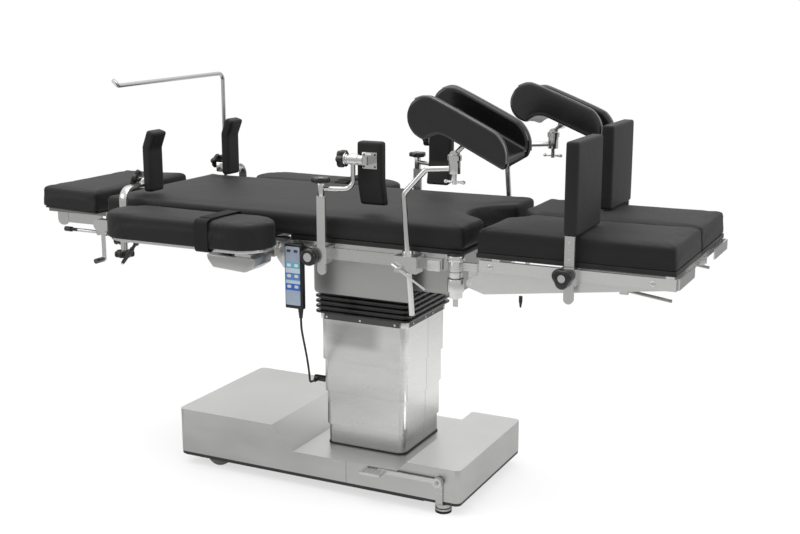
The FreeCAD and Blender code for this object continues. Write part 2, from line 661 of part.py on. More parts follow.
def post_levers():
    """Thin tapered locking levers that hang from the leg posts."""
    levers = []
    for side in SIDES.values():
        half = S.lock_lever_wide / 2
        top = S.post_low
        y = side * S.post_y
        lever = block((S.post_x - half, S.post_x + half),
                      (y - S.lock_lever_thick / 2, y + S.lock_lever_thick / 2),
                      (top - S.lock_lever_long, top))
        for end in (-1, 1):
            wedge = block((S.post_x - half, S.post_x + half), (y - 20, y + 20),
                          (top - S.lock_lever_long * 2, top - 20))
            wedge.Placement = Placement(
                Vector(number(S.post_x) + end * 1.55 * number(half) - number(half), number(y) - 20,
                       number(top) - 2 * number(S.lock_lever_long)), Rotation(Vector(0, 1, 0), end * 1.6))
            lever = cut(lever, wedge)
        levers.append(lever)
    return levers


def cushion_edge(low, top):
    """Picks a cushion's upper rim and upright corners."""
    def pick(edge):
        return edge.BoundBox.ZMin > number(top) - 1 or upright(edge)
    return pick


def seat_cushion():
    """Seat end of the long mattress on its board, with the perineal cut-out."""
    body = new_body("seat_cushion")
    half = S.top_half
    end = S.seat_cushion_to
    corners = [(S.crease_to, -half), (end, -half), (end, -S.notch_mouth),
               (end - S.notch_depth, -S.notch_floor),
               (end - S.notch_depth, S.notch_floor, end - S.notch_depth - 12, 0),
               (end, S.notch_mouth), (end, half), (S.crease_to, half)]
    middle = (S.cushion_low + S.cushion_top) / 2
    pad(body, outline(body, "XY_Plane", middle, corners), S.cushion_top - S.cushion_low)


def mattress(node, start, end):
    body = new_body(node)
    half = S.top_half
    corners = [(start, -half), (end, -half), (end, half), (start, half)]
    middle = (S.cushion_low + S.cushion_top) / 2
    pad(body, outline(body, "XY_Plane", middle, corners), S.cushion_top - S.cushion_low)


def side_skirts():
    """Sheet panels that hang from the seat frame on both sides of the tilt housing."""
    panels = []
    for side in SIDES.values():
        face = across(side, S.skirt_y - S.side_skirt_thick, S.skirt_y)
        panel = block((S.skirt_from, S.skirt_end), face, (S.skirt_bottom, S.frame_top - S.cross_bar_thick))
        low = number(S.skirt_bottom)

        def low_corner(edge, low=low):
            return abs(direction(edge).y) > 0.99 and edge.CenterOfMass.z < low + 1
        flange = block((S.skirt_from + 10, S.skirt_end - 10), across(side, S.skirt_y - 22, S.skirt_y),
                       (S.frame_top - S.cross_bar_thick - 3, S.frame_top - S.cross_bar_thick))
        panels.append(fused(rounded(panel, S.side_skirt_round, low_corner), flange))
    keep("side_skirts", group(*panels))


def rail_block(x, side, half, reach):
    """Clamp body on a rail: a face block outside the rail and a lip over its top."""
    out = S.rail_out + S.slide_gap
    face = block((x - half, x + half), across(side, out, out + reach), (S.rail_low - 6, S.rail_top + 8))
    lip = block((x - half, x + half), across(side, S.rail_in, out), (S.rail_top + S.slide_gap, S.rail_top + 8))
    return fused(face, lip)


def seat_rail_clamps():
    """Clamps for the lateral supports and the knee crutches."""
    clamps = []
    for name, side in SIDES.items():
        half = S.lateral_bar_wide / 2 + 8
        body = rail_block(S.lateral_x, side, half, 30)
        gap = S.slide_gap
        slot = block((S.lateral_x - S.lateral_bar_wide / 2 - gap, S.lateral_x + S.lateral_bar_wide / 2 + gap),
                     across(side, S.lateral_y - S.lateral_bar_thick / 2 - gap,
                            S.lateral_y + S.lateral_bar_thick / 2 + gap), (S.frame_low - 20, S.frame_top + 20))
        screw = bar("y", (S.lateral_x - 24, S.rail_low + 10), 5,
                    across(side, S.rail_out + 8, S.lateral_y + 16))
        foot = block((S.lateral_x - 34, S.lateral_x - half + 1), across(side, S.rail_out + S.slide_gap, S.rail_out + 12),
                     (S.rail_low - 2, S.rail_top - 4))
        clamps.append(cut(fused(body, foot, screw), slot))
        clamps.append(bar("y", (S.lateral_x - 24, S.rail_low + 10), S.knob_radius,
                          across(side, S.lateral_y + 16, S.lateral_y + 16 + S.knob_thick)))
        x = crutch_x(name)
        body = rail_block(x, side, 30, 40)
        boss, bore = (leaning_bar(x, side, radius, -reach, reach) for radius, reach in
                      ((S.crutch_boss, 24), (S.crutch_rod + S.running_gap, 60)))
        shaft = bar("y", (x - 14, S.rail_low + 4), 5, across(side, S.crutch_y + 10, S.crutch_y + 34))
        tee = doc.addObject("Part::Cylinder", "Tee")
        bind(tee, Radius=S.tee_radius, Height=S.tee_long)
        put(tee, x - 32, side * (S.crutch_y + 28), S.rail_low + 15.4, Rotation(Vector(0, 1, 0), 121))
        clamps.append(cut(fused(body, boss, shaft, tee), bore))
    keep("seat_rail_clamps", group(*clamps))


# Back section


def back_frame():
    """Side beams with hinge eyes, cross bars, rails, and eyes that carry the head section."""
    parts = []
    holes = []
    bar_low = S.frame_top - S.cross_bar_thick
    for x in (S.back_from + S.back_bar_one, S.back_from + S.back_bar_two, S.hinge_x - S.back_bar_three):
        parts.append(block((x, x + S.cross_bar), (-S.beam_in, S.beam_in), (bar_low, S.frame_top)))
    for side in SIDES.values():
        beam = across(side, S.beam_in, S.beam_out)
        parts.append(block((S.head_hinge_x, S.hinge_x), beam, (S.back_beam_low + 2, S.frame_top)))
        parts.append(bar("y", (S.hinge_x, S.hinge_z), S.hinge_eye, beam))
        parts.append(bar("y", (S.head_hinge_x, S.head_hinge_z), S.hinge_eye, beam))
        parts.append(bar("y", (S.head_hinge_x, S.head_hinge_z), S.hinge_pin,
                         across(side, S.head_bar_y - 6, S.beam_in)))
        parts.append(block((S.back_rail_from, S.back_rail_to), across(side, S.rail_in, S.rail_out),
                           (S.rail_low, S.rail_top)))
        for x in (S.back_rail_from + 20, S.back_rail_to - 60):
            parts.append(block((x, x + 16), across(side, S.beam_out, S.rail_in), (S.rail_low + 8, S.rail_top - 6)))
        holes.append(bar("y", (S.hinge_x, S.hinge_z), S.hinge_pin + S.running_gap, beam))
    keep("back_frame", cut(fused(*parts), *holes))


def back_rail_clamps():
    """Shelves with pivot pins for the arm boards, shoulder clamps and the screen rod's clamp."""
    pieces = []
    for side in SIDES.values():
        shelf_top = S.arm_shelf_low + S.arm_shelf_thick
        body = rail_block(S.arm_x, side, 36, S.arm_y - S.arm_half - S.rail_out - 1)
        shelf = block((S.arm_x - 24, S.arm_x + 24), across(side, S.rail_out + 10, S.arm_y + 16),
                      (S.arm_shelf_low, shelf_top))
        pin = bar("z", (S.arm_x, side * S.arm_y), S.arm_pin, (S.arm_shelf_low, S.arm_low - 2))
        pieces.append(fused(body, shelf, pin))
        pieces.append(rail_block(S.shoulder_x, side, 18, 36))
    screen = rail_block(S.screen_x, FAR, 14, 30)
    bore = bar("z", (S.screen_x, S.screen_y), S.screen_radius + S.running_gap, (S.frame_low - 20, S.frame_top + 20))
    pieces.append(cut(screen, bore))
    keep("back_rail_clamps", group(*pieces))


def arm_board(node, side):
    """Padded board with rounded ends, a support strip under it and a pivot hole."""
    ends = [(S.arm_x - S.arm_length + S.arm_half, side * S.arm_y), (S.arm_x, side * S.arm_y)]
    y = side * S.arm_y

    def slab(half, low, top):
        middle = block((ends[0][0], ends[1][0]), (y - half, y + half), (low, top))
        return fused(middle, *[bar("z", end, half, (low, top)) for end in ends])
    board = slab(S.arm_half, S.arm_low, S.arm_top)
    plate = slab(S.arm_half - 14, S.arm_low - S.arm_plate, S.arm_low)
    strip = block((S.arm_x - S.arm_length + S.arm_strip_from, S.arm_x - S.arm_strip_to),
                  (y - S.arm_strip_wide / 2, y + S.arm_strip_wide / 2),
                  (S.arm_low - S.arm_plate - S.arm_strip_deep, S.arm_low - S.arm_plate))
    hole = bar("z", (S.arm_x, y), S.arm_pin + S.running_gap, (S.arm_low - S.arm_plate - 10, S.arm_low))
    keep(node, cut(fused(board, plate, strip), hole))


def shoulder_arms():
    """Flat bars that rise from the rail and turn inwards over the mattress."""
    arms = []
    for side in SIDES.values():
        body = doc.addObject("PartDesign::Body", "Arm")
        half = S.shoulder_bar_thick / 2
        out, inn = side * (S.shoulder_bar_y + half), side * (S.shoulder_bar_y - half)
        top, low = S.shoulder_bar_z + half, S.shoulder_bar_z - half
        bend = S.shoulder_bend
        root = math.sqrt(0.5)
        centre_y, centre_z = side * (S.shoulder_bar_y - half - bend), low - bend
        reach = side * S.shoulder_reach
        corners = [(out, S.rail_top + 8), (out, centre_z),
                   (centre_y, top, centre_y + side * (bend + 2 * half) * root, centre_z + (bend + 2 * half) * root),
                   (reach, top), (reach, low), (centre_y, low),
                   (inn, centre_z, centre_y + side * bend * root, centre_z + bend * root),
                   (inn, S.rail_top + 8)]
        pad(body, outline(body, "YZ_Plane", S.shoulder_x, corners), S.shoulder_bar_wide)
        arms.append(body)
    keep("shoulder_arms", group(*arms))


def shoulder_pads():
    """Firm pads on the arms, their upper part leaning to the foot end."""
    pads = []
    for side in SIDES.values():
        body = doc.addObject("PartDesign::Body", "Bolster")
        start = S.shoulder_x + S.shoulder_bar_wide / 2
        end = start + S.shoulder_pad_thick
        lean = S.shoulder_pad_lean
        corners = [(start, S.shoulder_pad_low), (end, S.shoulder_pad_low), (end, S.shoulder_pad_bend),
                   (end + lean, S.shoulder_pad_top - 8), (start + lean, S.shoulder_pad_top),
                   (start, S.shoulder_pad_bend + 6)]
        centre = side * (S.shoulder_reach + 8)
        pad(body, outline(body, "XZ_Plane", centre, corners), S.shoulder_pad_wide)
        pads.append(body)
    keep("shoulder_pads", group(*pads))


def screen_rod():
    """Anaesthesia screen rod: upright in its clamp, then across the table with a turned-up tip."""
    x, y = number(S.screen_x), number(S.screen_y)
    top, tip = number(S.screen_top), number(S.screen_tip)
    end = y - number(S.screen_reach)
    points = [Vector(x, y, number(S.screen_low)), Vector(x, y, top), Vector(x, end, top - 8),
              Vector(x - 4, end - tip, top + tip - 8)]
    bends = {0: number(S.screen_bend), 1: 10}
    state = iter(bends.values())
    shape, _ = round_bar(points, number(S.screen_radius), lambda *corner: next(state))
    shaped("screen_rod", shape)


# Head section


def head_frame():
    """Board with spacers, two side bars with hinge barrels, a tab and the gear block."""
    parts = [block((S.head_from + 12, S.head_to), (-S.head_bar_y, S.head_bar_y), (S.head_board_low, S.head_board_top)),
             block((S.head_from + 30, S.head_to - 10), (-S.head_half + 40, S.head_half - 40),
                   (S.head_board_top, S.head_low))]
    holes = []
    for side in SIDES.values():
        span = across(side, S.head_bar_y - S.head_bar_wide, S.head_bar_y)
        parts.append(block((S.head_bar_from, S.head_hinge_x), span, (S.head_bar_low, S.head_bar_top)))
        parts.append(block((S.head_bar_from, S.head_to - 20), span, (S.head_bar_top, S.head_board_low)))
        eye = across(side, S.head_bar_y - S.head_bar_wide, S.beam_in - 1)
        parts.append(bar("y", (S.head_hinge_x, S.head_hinge_z), S.head_barrel, eye))
        holes.append(bar("y", (S.head_hinge_x, S.head_hinge_z), S.hinge_pin + S.running_gap,
                         across(side, S.head_bar_y - 12, S.beam_in)))
        tab = block((S.head_tab_from, S.head_tab_to), across(side, S.head_bar_y - 4, S.head_bar_y),
                    (S.head_tab_low, S.head_board_low))
        low = number(S.head_tab_low)

        def tab_corner(edge, low=low):
            return abs(direction(edge).y) > 0.99 and edge.CenterOfMass.z < low + 1
        parts.append(rounded(tab, 17, tab_corner))
    near = (-S.head_bar_y - S.gear_out, -S.head_bar_y + S.gear_in)
    gear = (S.gear_z - S.gear_half, S.head_bar_low)
    parts.append(block((S.gear_x - S.gear_half, S.gear_x + S.gear_half), near, gear))
    lug = (near[1] - S.release_lug, near[1])
    parts.append(block((S.release_x - 8, S.gear_x), lug, gear))
    parts.append(bar("y", (S.release_x, S.release_z), S.release_radius, near))
    holes.append(bar("y", (S.gear_x, S.gear_z), S.crank_pin + S.running_gap, near))
    keep("head_frame", cut(fused(*parts), *holes))


def head_cushion():
    """Head pad that narrows to the head end."""
    body = new_body("head_cushion")
    corners = [(S.head_from, -S.head_half), (S.head_to, -S.neck_half),
               (S.head_to, S.neck_half), (S.head_from, S.head_half)]
    middle = (S.head_low + S.cushion_top) / 2
    pad(body, outline(body, "XY_Plane", middle, corners), S.cushion_top - S.head_low)


def head_crank():
    """Crank with a shaft into the gear block, a flat arm and a round grip."""
    face = -S.head_bar_y - 8
    thick = (face - S.crank_arm_thick, face)
    half = S.crank_arm_wide / 2
    arm = block((S.gear_x - half, S.gear_x + half), thick, (S.gear_z - S.crank_arm, S.gear_z))
    hub = bar("y", (S.gear_x, S.gear_z), S.crank_arm_wide, thick)
    shaft = bar("y", (S.gear_x, S.gear_z), S.crank_pin, (face, -S.head_bar_y + 12))
    grip = bar("y", (S.gear_x, S.gear_z - S.crank_arm), S.crank_grip_radius,
               (face - S.crank_arm_thick - S.crank_grip, face - S.crank_arm_thick))
    end = bar("y", (S.gear_x, S.gear_z - S.crank_arm), half, thick)
    keep("head_crank", fused(arm, hub, shaft, grip, end))


def head_release():
    """Release lever on its own pin beside the gear block, pointing to the head end."""
    inner = -S.head_bar_y + S.gear_in - S.release_lug - S.slide_gap
    face = (-S.head_bar_y - S.gear_out, inner)
    y = (face[0] + face[1]) / 2
    eye = bar("y", (S.release_x, S.release_z), S.release_radius + 4, face)
    lever = bar("x", (y, S.release_z), S.release_radius, (S.release_x - S.release_long, S.release_x))
    grip = bar("x", (y, S.release_z), S.release_grip,
               (S.release_x - S.release_long - S.release_grip_long, S.release_x - S.release_long))
    hole = bar("y", (S.release_x, S.release_z), S.release_radius + S.running_gap, (face[0] - 1, face[1] + 1))
    keep("head_release", cut(fused(eye, lever, grip), hole))


# Leg sections


def leg_yoke(node, side):
    """Barrel on the leg post with a hooked arm that carries the drop pin."""
    centre = (S.post_x, side * S.post_y)
    arm = across(side, S.yoke_in, S.yoke_out)
    barrel = bar("z", centre, S.barrel_radius, (S.barrel_low, S.barrel_top))
    reach = block((S.post_x, S.yoke_end), arm, (S.yoke_arm_low, S.yoke_arm_top))
    hook = block((S.yoke_hook, S.yoke_end), arm, (S.yoke_low + 11, S.yoke_arm_top))
    tip = bar("y", (S.drop_x, S.yoke_low + 11), 11, arm)
    pin = bar("y", (S.drop_x, S.drop_z), S.drop_pin, across(side, S.yoke_in, S.leg_plate_out + 1))
    hole = bar("z", centre, S.post_pin + S.running_gap, (S.barrel_low - 1, S.barrel_top + 1))
    keep(node, cut(fused(barrel, reach, hook, tip, pin), hole))


def leg_frame(node, side):
    """Tapered side plate with the accessory rail, inner bar, cross bars and end plate."""
    lug = 12
    body = doc.addObject("PartDesign::Body", "LegPlate")
    top = S.leg_rail_top
    corners = [(S.leg_frame_to, S.leg_plate_end_low), (S.leg_frame_to, top), (S.leg_frame_from, top),
               (S.leg_frame_from, S.drop_z + 26), (S.drop_x - 2, S.drop_z + lug),
               (S.drop_x, S.drop_z - lug, S.drop_x - lug, S.drop_z), (S.leg_frame_from + 14, S.leg_plate_low)]
    middle = side * (S.leg_plate_in + S.leg_plate_out) / 2
    pad(body, outline(body, "XZ_Plane", middle, corners), S.leg_plate_out - S.leg_plate_in)
    boss = bar("y", (S.drop_x, S.drop_z), lug, across(side, S.leg_plate_in - 6, S.leg_plate_in))
    rail = block((S.leg_frame_from + 4, S.leg_frame_to - 6), across(side, S.leg_plate_out, S.leg_plate_out + S.leg_rail_thick),
                 (S.leg_rail_low, S.leg_rail_top))
    frame_top = S.cushion_low
    bars = [block((x, x + S.leg_bar), across(side, 14, S.leg_plate_in), (frame_top - S.leg_bar_deep, frame_top))
            for x in (S.leg_bar_one, S.leg_bar_two, S.leg_bar_three)]
    inner = block((S.leg_bar_one, S.leg_frame_to), across(side, 10, 14), (frame_top - S.leg_bar_deep, frame_top))
    end = block((S.leg_frame_to - 4, S.leg_frame_to), across(side, S.leg_end_inner, S.leg_plate_in), (S.leg_plate_end_low, top))
    lever_y = side * S.leg_lever_y
    hanger = block((S.leg_lever_x - 10, S.leg_lever_x + 10), (lever_y - 13, lever_y - 6),
                   (S.leg_lever_z - 8, frame_top - S.leg_bar_deep))
    strut = block((S.leg_bar_two, S.leg_bar_three), (lever_y - 13, lever_y + 5),
                  (frame_top - S.leg_bar_deep, frame_top - S.leg_bar_deep + 8))
    shaft = bar("y", (S.leg_lever_x, S.leg_lever_z), S.leg_lever_radius, (lever_y - 13, lever_y + 5))
    hole = bar("y", (S.drop_x, S.drop_z), S.drop_pin + S.running_gap,
               across(side, S.leg_plate_in - 7, S.leg_plate_out + 1))
    keep(node, cut(fused(body, boss, rail, *bars, inner, end, hanger, strut, shaft), hole))


def leg_cushion(node, side):
    """Leg pad on its board, with the inner corner at the seat cut away."""
    body = new_body(node)
    out, inn = side * S.top_half, side * S.leg_inner
    corners = [(S.leg_from, out), (S.leg_to, out), (S.leg_to, inn),
               (S.leg_from + S.leg_chamfer_long, inn), (S.leg_from, side * (S.leg_inner + S.leg_chamfer_wide))]
    middle = (S.cushion_low + S.cushion_top) / 2
    pad(body, outline(body, "XY_Plane", middle, corners), S.cushion_top - S.cushion_low)


def leg_release(node, side):
    """Release lever under the leg frame, pointing to the foot end."""
    y = side * S.leg_lever_y
    x, z = S.leg_lever_x, S.leg_lever_z
    eye = bar("y", (x, z), S.leg_lever_radius + S.leg_eye_wall, (y - S.leg_eye_half, y + S.leg_eye_half))
    slope = math.degrees(math.atan2(number(S.leg_lever_drop), number(S.leg_lever_long)))
    rod = doc.addObject("Part::Cylinder", "Lever")
    bind(rod, Radius=S.leg_lever_radius, Height=S.leg_lever_long)
    put(rod, x, y, z, Rotation(Vector(0, 1, 0), 90 + slope))
    hole = bar("y", (x, z), S.leg_lever_radius + S.running_gap, (y - 2 * S.leg_eye_half, y + 2 * S.leg_eye_half))
    keep(node, cut(fused(eye, rod), hole))


# Foot boards


def foot_board_x(name):
    return S.foot_board_near_x if name == "near" else S.foot_board_far_x


def foot_clamp(name, side):
    """Clamp on the leg rail with a slot for the bar and a knob."""
    x = foot_board_x(name)
    rail = S.leg_plate_out + S.leg_rail_thick
    out = rail + S.slide_gap
    gap = S.slide_gap
    half = S.foot_bar_wide / 2 + 8
    top = S.leg_rail_top + 5
    face = block((x - half, x + half), across(side, out, out + 20), (S.leg_rail_low - 6, top))
    lip = block((x - half, x + half), across(side, S.leg_plate_out, out), (S.leg_rail_top + gap, top))
    slot = block((x - S.foot_bar_wide / 2 - gap, x + S.foot_bar_wide / 2 + gap),
                 across(side, S.foot_bar_y - S.foot_bar_thick / 2 - gap, S.foot_bar_y + S.foot_bar_thick / 2 + gap),
                 (S.leg_rail_low - 20, top + 20))
    knob = bar("y", (x - 10, S.leg_rail_low + 12), S.knob_radius, across(side, out + 20, out + 20 + S.knob_thick))
    keep("foot_clamp_" + name, group(cut(fused(face, lip), slot), knob))


def foot_board(name, side):
    """Flat bar with a rounded lower end, and the padded board that stands on it."""
    x = foot_board_x(name)
    y = side * S.foot_bar_y
    thick = (y - S.foot_bar_thick / 2, y + S.foot_bar_thick / 2)
    half = S.foot_bar_wide / 2
    shank = block((x - half, x + half), thick, (S.foot_bar_low + half, S.foot_pad_low))
    tip = bar("y", (x, S.foot_bar_low + half), half, thick)
    keep("foot_bar_" + name, fused(shank, tip))
    half = S.foot_pad_thick / 2
    keep("foot_pad_" + name, rounded(block((x - half, x + half), across(side, S.foot_pad_in, S.foot_pad_out),
                                           (S.foot_pad_low, S.foot_pad_top)), 5,
                                     lambda edge: True))


# Lateral supports


def lateral_post(name, side):
    """Flat post in its clamp, with a round sleeve and star knob on top."""
    x, y = S.lateral_x, side * S.lateral_y
    half = S.lateral_bar_wide / 2
    thick = (y - S.lateral_bar_thick / 2, y + S.lateral_bar_thick / 2)
    shank = block((x - half, x + half), thick, (S.lateral_low + half, S.lateral_bar_top))
    tip = bar("y", (x, S.lateral_low + half), half, thick)
    neck = bar("z", (x, y), S.lateral_rod, (S.lateral_bar_top, S.lateral_sleeve_top))
    knob = bar("z", (x, y), S.star_radius, (S.lateral_sleeve_top, S.lateral_sleeve_top + S.star_thick))
    keep("lateral_post_" + name, fused(shank, tip, neck, knob))


def lateral_arm(name, side):
    """Sleeve that turns on the post, with a bent rod, joint block and pad plate."""
    x, y = S.lateral_x, side * S.lateral_y
    gap = S.slide_gap
    start, end = S.lateral_bar_top + gap, S.lateral_sleeve_top - gap
    sleeve = bar("z", (x, y), S.lateral_sleeve, (start, end))
    bore = bar("z", (x, y), S.lateral_rod + S.running_gap, (start - 1, end + 1))
    arm_x, arm_y = S.lateral_arm_x, side * S.lateral_arm_y
    level = number(S.lateral_rod_z)
    points = [Vector(number(x) + number(S.lateral_sleeve) - 1.5, number(y) - side * 3, level),
              Vector(number(arm_x), number(arm_y), level),
              Vector(number(arm_x), number(arm_y), number(S.lateral_arm_top))]
    rod, _ = round_bar(points, number(S.lateral_rod), steady(number(S.lateral_bend)))
    plate_half = S.lateral_plate / 2
    out = S.lateral_pad_out + S.lateral_plate_thick
    top = S.lateral_arm_top
    joint = block((arm_x - 18, S.lateral_pad_x + 12), across(side, out, S.lateral_arm_y + 8), (top - 12, top + 10))
    plate = block((S.lateral_pad_x - plate_half + 4, S.lateral_pad_x + plate_half + 4),
                  across(side, S.lateral_pad_out, out), (top - plate_half - 4, top + plate_half - 4))
    knob = bar("x", (arm_y, top), S.star_radius, (arm_x - 38, arm_x - 18))
    bent = shaped("", rod)
    keep("lateral_arm_" + name, fused(cut(fused(sleeve, bent), bore), joint, plate, knob))


def lateral_pad(name, side):
    """Upright pad whose lower third turns in over the mattress."""
    body = new_body("lateral_pad_" + name)
    out = side * S.lateral_pad_out
    inn = side * (S.lateral_pad_out - S.lateral_pad_thick)
    lean = side * S.lateral_pad_lean
    bend = S.lateral_pad_low + S.lateral_pad_turned
    corners = [(out - lean, S.lateral_pad_low + 4), (inn - lean, S.lateral_pad_low), (inn, bend),
               (inn, S.lateral_pad_top), (out, S.lateral_pad_top), (out, bend)]
    pad(body, outline(body, "YZ_Plane", S.lateral_pad_x, corners), S.lateral_pad_wide)


# Knee crutches


def crutch_x(name):
    return S.crutch_near_x if name == "near" else S.crutch_far_x


def leaning_bar(x, side, radius, low, high):
    """A round bar on the crutch rod's leaning axis, between two heights from the clamp."""
    lean = math.radians(number(S.crutch_lean))
    axis = Vector(-math.sin(lean), 0, math.cos(lean))
    start = Vector(number(x), side * number(S.crutch_y), number(S.crutch_z)) + axis * low
    rod = doc.addObject("Part::Cylinder", "Leaning")
    bind(rod, Radius=radius, Height=high - low)
    rod.Placement = Placement(start, Rotation(Vector(0, 1, 0), -number(S.crutch_lean)))
    return rod


def crutch_top(name, side):
    """Where the crutch rod ends in its cup."""
    lean = math.radians(number(S.crutch_lean))
    base = Vector(number(crutch_x(name)), side * number(S.crutch_y), number(S.crutch_z))
    corner = base + Vector(-math.sin(lean), 0, math.cos(lean)) * number(S.crutch_up)
    shoulder = corner + Vector(number(S.crutch_run), 0, number(S.crutch_rise))
    return base, corner, shoulder, shoulder + Vector(number(S.crutch_arm), 0, 6)


def crutch_pivot(name, side):
    """Middle of the barrel joint in the cup's mouth."""
    end = crutch_top(name, side)[3]
    return end.x, end.y, end.z + number(S.crutch_cup_top)


def crutch_rod(name, side):
    """Bent rod that leans in its clamp and ends in a cup with a screw and a tee handle."""
    base, corner, shoulder, end = crutch_top(name, side)
    foot = base + (base - corner).normalize() * number(S.crutch_down)
    rod, _ = round_bar([foot, corner, shoulder, end], number(S.crutch_rod), steady(number(S.crutch_bend)))
    x, y, z = crutch_pivot(name, side)
    low = z - S.crutch_cup_low - S.crutch_cup_top
    cup = bar("z", (x, y), S.crutch_cup, (low, low + S.crutch_cup_low + S.crutch_cup_top))
    half = S.crutch_barrel_half + S.running_gap
    hollow = bar("y", (x, z), S.crutch_barrel + S.running_gap, (y - half, y + half))
    mouth = block((x + S.crutch_stem / 2, x + 2 * S.crutch_cup), (y - S.crutch_cup, y + S.crutch_cup),
                  (z - 1.4 * S.crutch_stem, z + 1))
    screw = bar("z", (x, y), 5, (low - S.crutch_screw, low))
    handle = bar("x", (y, low - S.crutch_screw + 6), S.tee_radius, (x - S.crutch_handle, x + S.crutch_handle))
    keep("crutch_rod_" + name, fused(cut(fused(shaped("", rod), cup), hollow, mouth), screw, handle))


def crutch_trough(name, side):
    """Padded trough for the knee: a channel that curls down over a round lobe at its head end."""
    body = doc.addObject("PartDesign::Body", "Trough")
    deep, long = S.trough_deep, S.trough_long
    lobe, back = S.trough_lobe, S.trough_lobe_back
    level = deep - lobe
    low = level - lobe
    band = [(0, 0), (long, 0), (long - deep, deep, long - deep * 0.2, deep * 0.6), (-back, deep),
            (-back, low, -back - lobe, level), (-2, low + 8, -back + 9, low + 2)]
    solid = pad(body, outline(body, "XZ_Plane", 0, band), S.trough_wide)
    floor = S.trough_floor
    channel = [(long + 40, floor), (long + 40, deep + 20), (-back - lobe - 20, deep + 20),
               (-back - lobe - 20, low - 20), (-floor - 6, low - 20), (-floor - 6, 0),
               (6, floor, -floor * 0.6, floor * 0.66)]
    pocket(body, outline(body, "XZ_Plane", 0, channel), S.trough_wide - 2 * S.trough_side)

    def outer_edge(edge, half=number(S.trough_wide) / 2):
        return edge.CenterOfMass.x > 20 and abs(abs(edge.CenterOfMass.y) - half) < 0.5
    soften(body, body.Tip, S.trough_soft, outer_edge)
    x, z, slope = [getattr(S, "trough_%s_%s" % (name, what)) for what in ("x", "z", "slope")]
    turn = Rotation(Vector(0, 1, 0), number(slope)) * Rotation(Vector(1, 0, 0), -side * number(S.trough_roll))
    put(body, x, side * S.trough_y, z, turn)
    pivot = Vector(*crutch_pivot(name, side))
    seat = body.Placement.multVec(Vector(0.4 * number(long), 0, 4))
    stem = seat - pivot
    rod = doc.addObject("Part::Cylinder", "Stem")
    bind(rod, Radius=S.crutch_stem)
    rod.Height = stem.Length
    rod.Placement = Placement(pivot, Rotation(Vector(0, 0, 1), stem))
    half = S.crutch_barrel_half
    barrel = bar("y", (pivot.x, pivot.z), S.crutch_barrel, (pivot.y - half, pivot.y + half))
    keep("crutch_trough_" + name, fused(body, rod, barrel))


# Hand controller and lead


def handset():
    """Hand controller on a hook over the near seat rail, with its strain relief below."""
    case = rounded(block((S.handset_from, S.handset_to), (-S.handset_front, -S.handset_back),
                         (S.handset_low, S.handset_top)), S.handset_round,
                   lambda edge: upright(edge) or abs(direction(edge).x) > 0.99)
    middle = (S.handset_from + S.handset_to) / 2
    hook_plate = block((middle - 10, middle + 10), (-S.handset_back, -S.rail_out - S.slide_gap),
                       (S.rail_low + 4, S.rail_top + 3))
    lip = block((middle - 10, middle + 10), (-S.rail_out - S.slide_gap, -S.rail_in + 1),
                (S.rail_top + S.slide_gap, S.rail_top + 3))
    x, y, z = cord_points()[0]
    relief = bar("z", (x, y), S.relief_radius, (z, S.handset_low))
    keep("handset", fused(case, hook_plate, lip, relief))


def cord_points():
    """The lead's route from the strain relief to the plug."""
    start_z = number(S.handset_low) - number(S.relief_long)
    end_y = number(S.socket_y) - number(S.plug_exit_radius) - number(S.plug_exit_long)
    end_x, end_z = number(S.plug_exit_x), number(S.socket_z)
    return [Vector(*point) for point in (
        (-20, -282, start_z), (-20, -282, 480), (-23, -270, 452), (-32, -246, 418), (-42, -220, 382),
        (-54, -192, 344), (-66, -166, 308), (-77, -146, 282), (end_x, end_y - 20, end_z), (end_x, end_y, end_z))]


def handset_cord():
    points = cord_points()
    radius = number(S.cord_radius)
    shape, length = round_bar(points, radius, loose)
    radii = [loose(a, b, c, math.pi - (a - b).getAngle(c - b)) for a, b, c in zip(points, points[1:], points[2:])]
    print("lead length %.0f mm, bend radii" % length, [round(r) for r in radii],
          "volume ratio %.4f" % (shape.Volume / (math.pi * radius ** 2 * length)))
    shaped("handset_cord", shape)


def socket_and_plug():
    """Round socket on the third cover's head side and the angled plug in it."""
    face = S.column_x - S.column_long / 2 - S.cover_step * 2
    centre = (S.socket_y, S.socket_z)
    keep("cord_socket", bar("x", centre, S.socket_radius, (face - S.socket_proud, face)))
    start = face - S.socket_proud
    body = bar("x", centre, S.plug_radius, (start - S.plug_long, start))
    exit_span = (S.socket_y - S.plug_exit_radius - S.plug_exit_long, S.socket_y)
    stub = bar("y", (S.plug_exit_x, S.socket_z), S.plug_exit_radius, exit_span)
    keep("cord_plug", fused(body, stub))


def build():
    base_cover()
    base_chassis()
    wheels()
    lock_feet()
    brake_pedal()
    column_covers()
    column_collar()
    lift_ram_and_cylinder()
    column_bellows()
    pitch_yoke()
    tilt_frame()
    seat_frame()
    seat_cushion()
    mattress("mattress_crease", S.crease_from, S.crease_to)
    mattress("back_cushion", S.back_from, S.crease_from)
    side_skirts()
    seat_rail_clamps()
    back_frame()
    back_rail_clamps()
    shoulder_arms()
    shoulder_pads()
    screen_rod()
    head_frame()
    head_cushion()
    head_crank()
    head_release()
    handset()
    handset_cord()
    socket_and_plug()
    for name, side in SIDES.items():
        arm_board("arm_board_" + name, side)
        leg_yoke("leg_yoke_" + name, side)
        leg_frame("leg_frame_" + name, side)
        leg_cushion("leg_cushion_" + name, side)
        leg_release("leg_release_" + name, side)
        foot_clamp(name, side)
        foot_board(name, side)
        lateral_post(name, side)
        lateral_arm(name, side)
        lateral_pad(name, side)
        crutch_rod(name, side)
        crutch_trough(name, side)


